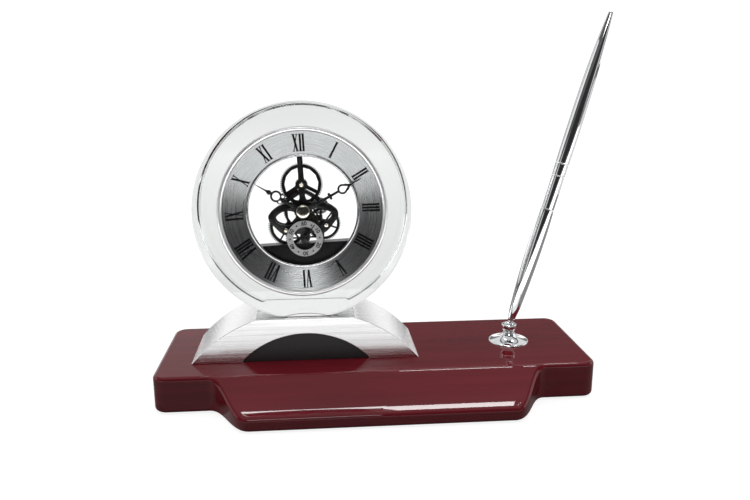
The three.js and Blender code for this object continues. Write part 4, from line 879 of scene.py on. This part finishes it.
# Roman hours, printed on the dished ring. A glyph has its width, its bars from top to foot with their
# thickness, and its serifs with their span, all as shares of the numerals' height.

THICK, THIN, SERIF = 0.118, 0.056, 0.04
GLYPHS = {
    "I": (0.1, [(0.05, 1, 0.05, 0, THICK)], [(0.05, 0, 0.16), (0.05, 1, 0.16)]),
    "V": (0.32, [(0.06, 1, 0.17, 0, THICK), (0.29, 1, 0.18, 0, THIN)],
          [(0.06, 1, 0.18), (0.28, 1, 0.13)]),
    "X": (0.32, [(0.06, 1, 0.26, 0, THICK), (0.27, 1, 0.05, 0, THIN)],
          [(0.06, 1, 0.17), (0.26, 1, 0.13), (0.26, 0, 0.17), (0.05, 0, 0.13)]),
}
GLYPH_GAP = 0.075
HOURS = ["XII", "I", "II", "III", "IIII", "V", "VI", "VII", "VIII", "IX", "X", "XI"]


def roman_hours():
    verts, faces = [], []

    def stroke(corners, hour):
        angle = TURN * hour / 12
        base = len(verts)
        for lift in NUMERAL_LIFTS:
            for across, up in corners:
                radius, offset = NUMERAL_FOOT + up * NUMERAL_HEIGHT, across * NUMERAL_HEIGHT
                x = radius * math.sin(angle) + offset * math.cos(angle)
                z = radius * math.cos(angle) - offset * math.sin(angle)
                verts.append((x, ring_depth(math.hypot(x, z)) + lift, z))
        count = len(corners)
        faces.append(tuple(range(base + count, base + 2 * count)))
        faces.append(tuple(reversed(range(base, base + count))))
        for i in range(count):
            j = (i + 1) % count
            faces.append((base + i, base + j, base + count + j, base + count + i))

    for hour, word in enumerate(HOURS):
        width = sum(GLYPHS[letter][0] for letter in word) + GLYPH_GAP * (len(word) - 1)
        left = -width / 2
        for letter in word:
            advance, bars, serifs = GLYPHS[letter]
            for x0, y0, x1, y1, thickness in bars:
                head, foot, half = left + x0, left + x1, thickness / 2
                stroke([(foot - half, y1), (foot + half, y1), (head + half, y0), (head - half, y0)], hour)
            for x, y, span in serifs:
                low, high = (0, SERIF) if y == 0 else (1 - SERIF, 1)
                start, end = left + x - span / 2, left + x + span / 2
                stroke([(start, low), (end, low), (end, high), (start, high)], hour)
            left += advance + GLYPH_GAP
    mesh = mesh_of("roman_hours", verts, faces)
    with edited(mesh) as form:
        bmesh.ops.recalc_face_normals(form, faces=form.faces)
    obj = put("roman_hours", mesh)
    obj.matrix_world = INSERT_MATRIX
    return obj


dress(roman_hours(), PRINT_BLACK, body="clock_insert")


# Hands, upright as drawn and then turned to their places

def silhouette(shapes, low, high, step):
    """The outline of a hand whose half width at each height is the widest of its forms."""
    count = round((high - low) / step)
    rows = []
    for i in range(count + 1):
        z = low + (high - low) * i / count
        half = max(shape(z) for shape in shapes)
        if half > 0:
            rows.append((half, z))
    return [*rows, *[(-x, z) for x, z in reversed(rows)]]


def taper(low, high, low_half, high_half):
    """A shaft whose half width changes evenly from its low to its high end."""
    slope = (high_half - low_half) / (high - low)
    return lambda z: low_half + slope * (z - low) if low <= z <= high else 0


def ball_form(place, radius, offset=0.0):
    """A round form, set apart from the middle by an offset."""
    return lambda z: offset + math.sqrt(radius ** 2 - (z - place) ** 2) if abs(z - place) < radius else 0


def hour_hand():
    """A boss, two small loops, a ring and a diamond on a thin shaft."""
    length, ring, loop, diamond = 27.9, 15.9, 13.0, 20.0
    shapes = [
        ball_form(0, HAND_BOSS), taper(0, ring - 2.4, 1.1, 0.6), ball_form(ring, 3.05),
        ball_form(loop, 1.5, 1.4), taper(diamond - 1.6, diamond, 0.4, 1.35),
        taper(diamond, diamond + 1.9, 1.35, 0.45), taper(ring, length, 0.6, 0.18),
    ]
    holes = [
        circle(0, ring, 2.0, 48), circle(-1.6, loop - 0.2, 0.75, 24), circle(1.6, loop - 0.2, 0.75, 24),
        circle(0, 0, 1.9, 40),
    ]
    outline = silhouette(shapes, -HAND_BOSS, length, 0.16)
    place = INSERT_MATRIX @ rotation(HOUR_ANGLE, "Y")
    return slab("hour_hand_fine", [outline, *holes], *HOUR_DEPTHS, place, 0.05)


def minute_hand():
    """A boss, a small cross, and a ring that runs out into a drop, on a thin shaft."""
    length, ring, lobe, cross = 34.5, 23.6, 26.2, 16.1
    shapes = [
        ball_form(0, HAND_BOSS), taper(0, ring - 2.0, 0.95, 0.6), ball_form(ring, 2.65),
        taper(ring + 1.6, ring + 4.9, 2.1, 0.45), ball_form(lobe, 0.6, 1.2), ball_form(cross, 0.7, 1.25),
        taper(ring, length, 0.55, 0.18),
    ]
    hole = [*arc(0, ring, 1.65, math.radians(150), math.radians(390), 30), (0, ring + 3.2)]
    outline = silhouette(shapes, -HAND_BOSS, length, 0.16)
    place = INSERT_MATRIX @ rotation(MINUTE_ANGLE, "Y")
    return slab("minute_hand_fine", [outline, hole, circle(0, 0, 1.0, 32)], *MINUTE_DEPTHS, place, 0.05)


def second_hand():
    length, tail = 8.8, -2.8
    shapes = [ball_form(0, 1.4), taper(tail, 0, 0.5, 0.42), taper(0, length, 0.42, 0.2)]
    outline = silhouette(shapes, tail, length, 0.12)
    place = SECONDS_MATRIX @ rotation(SECOND_ANGLE, "Y")
    return slab("second_hand_fine", [outline], *SECOND_DEPTHS, place, 0.06)


dress(hour_hand(), HAND_BLACK, "hour_hand")
dress(minute_hand(), HAND_BLACK, "minute_hand")
dress(second_hand(), HAND_BLACK, "second_hand")


def rod(name, place, radius, depths, steps, softness=0.0):
    """A round rod between two depths, with rounded edges where a softness is given."""
    front, back = depths
    profile = [(0, front), (radius, front), (radius, back), (0, back)]
    if softness:
        profile = soften(profile, softness, closed=False)
    return lathe(name, profile, place, steps, closed=False)


hub = rod("second_hub", SECONDS_MATRIX, HUB_RADIUS, HUB_DEPTHS, 48, 0.3)
dress(hub, PLATE_BLACK, body="seconds_train")

cap_profile = [
    (0, 2.0), (3.3, 2.0), (3.5, 1.85), (3.5, 1.55), (3.3, 1.3), (2.9, 1.15), (2.2, 1.04), (1.2, 1.0),
    (0, 0.99),
]
cap = lathe("centre_cap", spline(cap_profile, 3), INSERT_MATRIX, 72, closed=False, sharp=50)
dress(cap, NICKEL, "hand_cap")


# Seconds dial with its posts and figures

dial_outline = [circle(0, 0, DIAL_OUTER, 120), circle(0, 0, DIAL_INNER, 96)]
dial = slab("seconds_ring", dial_outline, *DIAL_DEPTHS, SECONDS_MATRIX, 0.12)
dress(dial, DIAL_SILVER, "seconds_dial")
for i, bearing in enumerate(DIAL_POST_BEARINGS):
    angle = math.radians(bearing)
    across, up = DIAL_POST_REACH * math.cos(angle), DIAL_POST_REACH * math.sin(angle)
    place = SECONDS_MATRIX @ shift(across, 0, up)
    post = rod(f"dial_post_{i + 1}", place, DIAL_POST_RADIUS, DIAL_POST_DEPTHS, 24)
    dress(post, STEEL, body="clock_insert")


def seconds_figures():
    """The figures 60 to 50 and the marks between them, tops outward."""
    pieces = bmesh.new()
    for k in range(6):
        words = bpy.data.curves.new("figure", "FONT")
        words.body = str(60 if k == 0 else 10 * k)
        words.size = FIGURE_SIZE * MM
        words.align_x = "CENTER"
        words.align_y = "CENTER"
        words.extrude = FIGURE_HALF_THICKNESS * MM
        words.offset = FIGURE_BOLDNESS * MM
        mesh = curve_mesh("figure", words)
        mesh.transform(rotation(60 * k, "Y") @ shift(0, FIGURE_DEPTH, FIGURE_REACH) @ rotation(90, "X"))
        pieces.from_mesh(mesh)
    for k in range(6):
        angle = TURN * (k + 0.5) / 6
        middle = shift(FIGURE_REACH * math.sin(angle), FIGURE_DEPTH, FIGURE_REACH * math.cos(angle))
        bmesh.ops.create_cone(
            pieces, cap_ends=True, segments=16, radius1=MARK_RADIUS * MM, radius2=MARK_RADIUS * MM,
            depth=2 * FIGURE_HALF_THICKNESS * MM, matrix=middle @ rotation(90, "X"),
        )
    mesh = bpy.data.meshes.new("seconds_figures")
    pieces.to_mesh(mesh)
    pieces.free()
    return settle(mesh, "seconds_figures", SECONDS_MATRIX, weighted=False)


dress(seconds_figures(), PRINT_BLACK, body="clock_insert")


# Movement: plates with a painted highlight on their cut edges, screws, knob, toothed rims and coil

# The front plate's bevels take the pale edge paint, a painted highlight along its cut edges
plate = bevelled_copy("front_plate_cut", "front_plate", PLATE_BEVEL, EDGE_HIGHLIGHT_PAINT)
dress(plate, PLATE_BLACK, "front_plate")
for side in ("top", "left", "right"):
    node = f"plate_screw_{side}"
    dress(bevelled_copy(f"plate_screw_{side}_fine", node, SCREW_BEVEL), NICKEL, node)
knob = bevelled_copy("knob_fine", "setting_knob", KNOB_BEVEL)
dress(knob, BLACK_PLASTIC, "setting_knob")


def wheel_rim(node, axis, teeth, tip, root, inner):
    """A toothed rim round a wheel, a little thicker than the wheel itself."""
    to_insert = INSERT_MATRIX.inverted()
    places = [to_insert @ vertex.co for vertex in nodes[node].data.vertices]
    edge = [p.y / MM for p in places if math.hypot(p.x / MM - axis[0], p.z / MM - axis[1]) > inner]
    front, back = min(edge) - RIM_PROUD, max(edge) + RIM_PROUD
    tooth = [
        (root, -TOOTH_FOOT_HALF), (tip, -TOOTH_TIP_HALF), (tip, TOOTH_TIP_HALF), (root, TOOTH_FOOT_HALF),
    ]
    outline = []
    for i in range(teeth):
        for radius, share in tooth:
            angle = TURN * (i + share) / teeth
            outline.append((axis[0] + radius * math.cos(angle), axis[1] + radius * math.sin(angle)))
    made = slab(node + "_rim", [outline, circle(*axis, inner, 96)], front, back, INSERT_MATRIX, 0.04, 1)
    dress(made, WHEEL_DARK, body=body_of[node])


def meeting_place(centre_reach, seconds_reach, side):
    """The point at given distances from the middle and from the seconds axis."""
    along = (centre_reach ** 2 - seconds_reach ** 2 + SECONDS_DROP ** 2) / (2 * SECONDS_DROP)
    return side * math.sqrt(centre_reach ** 2 - along ** 2), -along


third_axis = meeting_place(CENTRE_TO_THIRD, THIRD_TO_SECONDS, -1)
intermediate_axis = meeting_place(CENTRE_TO_INTERMEDIATE, INTERMEDIATE_TO_SECONDS, 1)
# The wheel, its axis, its teeth, and its tip, root and inner radius
WHEEL_RIMS = [
    ("centre_wheel", (0, 0), 60, 10.6, 10.0, 8.9),
    ("third_wheel", third_axis, 64, 10.7, 9.8, 8.5),
    ("seconds_wheel", (0, -SECONDS_DROP), 60, 10.3, 9.7, 8.6),
    ("intermediate_wheel", intermediate_axis, 64, 9.2, 8.55, 7.35),
    ("top_wheel", (0, CENTRE_TO_TOP), 64, 11.5, 10.55, 9.2),
]
for row in WHEEL_RIMS:
    wheel_rim(*row)


def coil_winding():
    """Turns of fine wire on the bobbin."""
    low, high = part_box("coil_winding")
    profile = [(COIL_CORE, -COIL_HALF_LENGTH)]
    for i in range(COIL_TURNS * 4 + 1):
        along = -COIL_HALF_LENGTH + 2 * COIL_HALF_LENGTH * i / (COIL_TURNS * 4)
        profile.append((COIL_RADIUS + COIL_RIPPLE * math.cos(TURN * i / 4), along))
    profile.append((COIL_CORE, COIL_HALF_LENGTH))
    middle = Matrix.Translation(INSERT_MATRIX.inverted() @ ((low + high) / 2))
    place = INSERT_MATRIX @ middle @ rotation(-COIL_TILT, "Y") @ rotation(90, "Y")
    return lathe("coil_turns", profile, place, 40, axis="Z", sharp=80)


dress(coil_winding(), COPPER, "coil_winding")


# Pen holder, in profiles of radius and height above the base

dome_profile = [
    (3.0, 0), (11.0, 0), (11.0, 0.35), (10.75, 0.7), (10.1, 0.85), (9.2, 1.0), (8.0, 1.32), (6.7, 1.78),
    (5.5, 2.3), (4.6, 2.95), (3.9, 3.75), (3.5, 4.45), (3.3, 4.9), (2.8, 4.9), (2.8, 0),
]
dome = lathe("dome_fine", soften(dome_profile, 0.25), HOLDER_MATRIX, 128, axis="Z", sharp=40)
dress(dome, CHROME, "holder_dome")

cup_profile = soften([
    (0, -18.9), (2.5, -18.9), (2.5, 5.2), (2.7, 5.2), (2.72, 5.45), (2.95, 5.95), (3.4, 6.7), (3.8, 7.25),
    (4.05, 7.75), (4.2, 8.5), (4.2, 9.6), (4.05, 9.95), (3.7, 10.1), (3.1, 10.1), (2.9, 9.95),
    (3.2, 8.6), (3.05, 7.6), (2.5, 6.6), (2.0, 6.05), (2.0, 4.7), (0, 4.7),
], 0.12, 2, closed=False)
cup = lathe("cup_fine", cup_profile, HOLDER_MATRIX, 96, axis="Z", closed=False, sharp=45)
dress(cup, CHROME, "holder_cup")

ball_angles = [math.radians(-90 + 6 * i) for i in range(26)]
ball_round = [(BALL_RADIUS * math.cos(a), BALL_RADIUS * math.sin(a)) for a in ball_angles]
ball_profile = [
    (0, -BALL_RADIUS), *[p for p in ball_round[1:] if p[0] > BALL_BORE or p[1] < 0],
    (BALL_BORE, -2.0), (0, -2.0),
]
ball = lathe("ball_fine", ball_profile, PEN_MATRIX, 64, axis="Z", closed=False, sharp=40)
dress(ball, CHROME, "swivel_ball")


# Pen, in profiles of radius and place along its axis from the middle of the ball

def pen_piece(name, node, profile, soft, closed):
    profile = soften(profile, soft, closed=closed)
    dress(lathe(name, profile, PEN_MATRIX, axis="Z", closed=closed, sharp=35), CHROME, node)


def barrel_side(radius, growth, start, end, shares):
    """The side of a barrel, from the shares of its length and of its growth in radius."""
    points = [(radius + growth * share, start + (end - start) * place) for place, share in shares]
    return spline(points, 8)


pen_piece("pen_point_fine", "pen_point", [
    (0, -1.7), (0.5, -1.7), (1.15, -0.5), (1.15, 3.2), (1.55, 3.2), (1.95, 4.6), (0.85, 4.6),
    (0.85, 7.0), (0, 7.0),
], 0.1, False)

start, end = 4.9, 69.5
swell = [(0, 0), (0.09, 0.37), (0.19, 0.55), (0.37, 0.8), (0.6, 0.98), (0.82, 1), (0.95, 0.9), (1, 0.82)]
pen_piece("pen_lower_fine", "pen_lower_barrel", [
    (1.15, start), *barrel_side(1.95, 2.15, start, end, swell), (PEN_BORE, end), (PEN_BORE, 10),
    (1.15, 7.6),
], 0.15, True)

pen_piece("pen_sleeve_fine", "pen_sleeve", [
    (PEN_BORE, 69.8), (3.65, 69.8), (3.65, 88.3), (PEN_BORE, 88.3),
], 0.25, True)
pen_piece("pen_band_fine", "pen_band", [
    (PEN_BORE, 88.6), (3.8, 88.6), (3.8, 95.1), (PEN_BORE, 95.1),
], 0.3, True)

start, end = 95.4, 176.1
thinning = [(0, 1), (0.1, 1.01), (0.3, 0.965), (0.5, 0.86), (0.7, 0.655), (0.88, 0.33), (1, 0)]
pen_piece("pen_upper_fine", "pen_upper_barrel", [
    (0, 120), (PEN_BORE, 120), (PEN_BORE, start), *barrel_side(1.25, 2.65, start, end, thinning)[:-1],
    (1.25, end - 0.35), (1.1, end - 0.08), (0.85, end), (0, end),
], 0.2, False)


# Floor, reflecting cards, lights and camera, all in metres

FLOOR_GRAY = (0.3, 0.3, 0.3)
FLOOR_GLOW_REACH = (0.25, 1.2)
FLOOR_GLOW = (0.86, 1.1)
SHADOW_FLOOR_GLOW = 0.04
ROOM_RADIUS = 12
ROOM_GLOW = 1.1
WORLD_GLOW = 0.12
LIGHT_TARGET = (0, 0, 0.06)


def stage_plane(name, size, place, turns, color, glow=0.0):
    """A plane of the stage and its paint. The turns about X and Z are in degrees."""
    half_x, half_y = size[0] / 2, size[1] / 2
    mesh = bpy.data.meshes.new(name)
    mesh.from_pydata(
        [(-half_x, -half_y, 0), (half_x, -half_y, 0), (half_x, half_y, 0), (-half_x, half_y, 0)], [],
        [(0, 1, 2, 3)],
    )
    obj = put(name, mesh)
    obj.location = place
    obj.rotation_euler = (math.radians(turns[0]), 0, math.radians(turns[1]))
    paint = Paint(name + "_paint", color, 0.9)
    paint.set(paint.shader, **{"Emission Color": (1, 1, 1, 1), "Emission Strength": glow})
    mesh.materials.append(paint.material)
    return obj, paint


def shown_to(obj, camera=False, glossy=False, transmission=False, shadow=False):
    """Leaves an object visible to the named kinds of ray alone."""
    obj.visible_camera = camera
    obj.visible_diffuse = False
    obj.visible_glossy = glossy
    obj.visible_transmission = transmission
    obj.visible_shadow = shadow
    return obj


def pale_floor():
    """The floor that the camera sees, whiter towards its edges, and one that takes the shadows."""
    floor, paint = stage_plane("floor", (40, 40), (0, 0, 0), (0, 0), FLOOR_GRAY)
    reach = paint.node("ShaderNodeVectorMath", operation="LENGTH")
    paint.link(paint.place, reach, 0)
    glow = paint.span(reach.outputs["Value"], *FLOOR_GLOW_REACH, *FLOOR_GLOW)
    paint.link(glow, paint.shader, "Emission Strength")
    shown_to(floor, camera=True, transmission=True)
    bounce, _ = stage_plane(
        "bounce_floor", (3, 3), (0, 0, -0.0003), (0, 0), FLOOR_GRAY, SHADOW_FLOOR_GLOW,
    )
    shown_to(bounce, glossy=True, shadow=True)


def white_room():
    """A pale shell round the stage, seen by the camera and through clear pieces alone."""
    mesh = bpy.data.meshes.new("white_room")
    with edited(mesh) as form:
        bmesh.ops.create_uvsphere(form, u_segments=48, v_segments=24, radius=ROOM_RADIUS)
    room = put("white_room", mesh)
    paint = Paint("white_room_paint", (0, 0, 0), 1.0, 0.0, **{
        "Emission Color": (1, 1, 1, 1), "Emission Strength": ROOM_GLOW, "Specular IOR Level": 0.0,
    })
    mesh.materials.append(paint.material)
    shown_to(room, camera=True, transmission=True)


# Glowing cards that only mirror-like surfaces see: name, size, place, turns about X and Z, and glow
CARDS = [
    ("front_dark_card", (0.9, 0.5), (0, -1.05, 0.25), (90, 0), 0.015),
    ("front_side_card_-1", (0.35, 0.5), (-0.625, -1.05, 0.25), (90, 0), 0.03),
    ("front_white_card_-1", (0.8, 0.5), (-1.4, -1.0, 0.25), (90, 0), 0.7),
    ("front_side_card_1", (0.35, 0.5), (0.625, -1.05, 0.25), (90, 0), 0.03),
    ("front_white_card_1", (0.8, 0.5), (1.4, -1.0, 0.25), (90, 0), 0.7),
    ("back_low_card", (4.0, 0.3), (0, 1.3, 0.15), (90, 0), 1.3),
    ("back_middle_card", (4.0, 0.32), (1.75, 1.31, 0.46), (90, 0), 0.2),
    ("back_left_card", (1.8, 0.32), (-1.15, 1.31, 0.46), (90, 0), 0.55),
    ("back_high_card", (4.0, 0.8), (0, 1.32, 1.02), (90, 0), 0.8),
    ("ceiling_card", (2.4, 2.2), (0, 0.1, 1.5), (0, 0), 0.6),
    ("lip_strip_left", (0.44, 0.06), (-0.09, 0.42, 1.31), (-17.5, 0), 18),
    ("lip_strip_right", (0.48, 0.2), (0.36, 0.488, 1.259), (-21.2, 0), 18),
    ("front_floor_card", (1.5, 0.45), (0, -0.335, 0.0005), (0, 0), 2.35),
    ("front_near_card", (0.24, 0.0547), (-0.02, -0.083, 0.01025), (-9, 0), 0.93),
    ("right_floor_card", (0.9, 0.9), (0.85, 0.15, 0.0005), (0, 0), 0.75),
    ("left_floor_card", (0.09, 0.07), (-0.115, -0.065, 0.0004), (0, 0), 0.35),
    ("left_card", (0.9, 0.9), (-1.25, 0.2, 0.5), (90, 90), 1.0),
    ("right_card", (0.9, 0.9), (1.25, 0.2, 0.5), (90, 90), 1.2),
    ("front_patch", (0.3, 0.14), (-0.06, -0.9, 0.64), (60, 0), 7),
]

# Soft lights that leave no reflection: name, place, size and watts
LIGHTS = [
    ("front_box", (-0.16, -1.0, 0.86), (0.4, 0.16), 1.25),
    ("top_box", (0, 0.1, 1.5), (2.4, 2.0), 17.5),
    ("left_box", (-1.25, -0.1, 0.5), (0.9, 0.9), 3),
    ("right_box", (1.25, -0.1, 0.5), (0.9, 0.9), 2.5),
]

pale_floor()
white_room()
for name, size, place, turns, glow in CARDS:
    card, _ = stage_plane(name, size, place, turns, (0, 0, 0), glow)
    shown_to(card, glossy=True)
for name, place, size, energy in LIGHTS:
    data = bpy.data.lights.new(name, "AREA")
    data.shape = "RECTANGLE"
    data.size, data.size_y = size
    data.energy = energy
    light = put(name, data)
    light.location = place
    light.rotation_euler = (Vector(LIGHT_TARGET) - Vector(place)).to_track_quat("-Z", "Y").to_euler()
    light.visible_glossy = False

world = bpy.data.worlds.new("studio")
bpy.context.scene.world = world
world.use_nodes = True
background = world.node_tree.nodes["Background"]
background.inputs["Color"].default_value = (1, 1, 1, 1)
background.inputs["Strength"].default_value = WORLD_GLOW

camera_data = bpy.data.cameras.new("camera")
camera_data.lens = CAMERA_LENS
camera_data.sensor_width = SENSOR_WIDTH
camera_data.clip_start, camera_data.clip_end = CAMERA_CLIP
camera = put("camera", camera_data)
camera.matrix_world = (
    Matrix.Translation(CAMERA_PLACE) @ rotation(CAMERA_TURN, "Z") @ rotation(90 - CAMERA_PITCH, "X")
    @ rotation(CAMERA_ROLL, "Z")
)
bpy.context.scene.camera = camera
bpy.context.scene.view_settings.view_transform = "Standard"
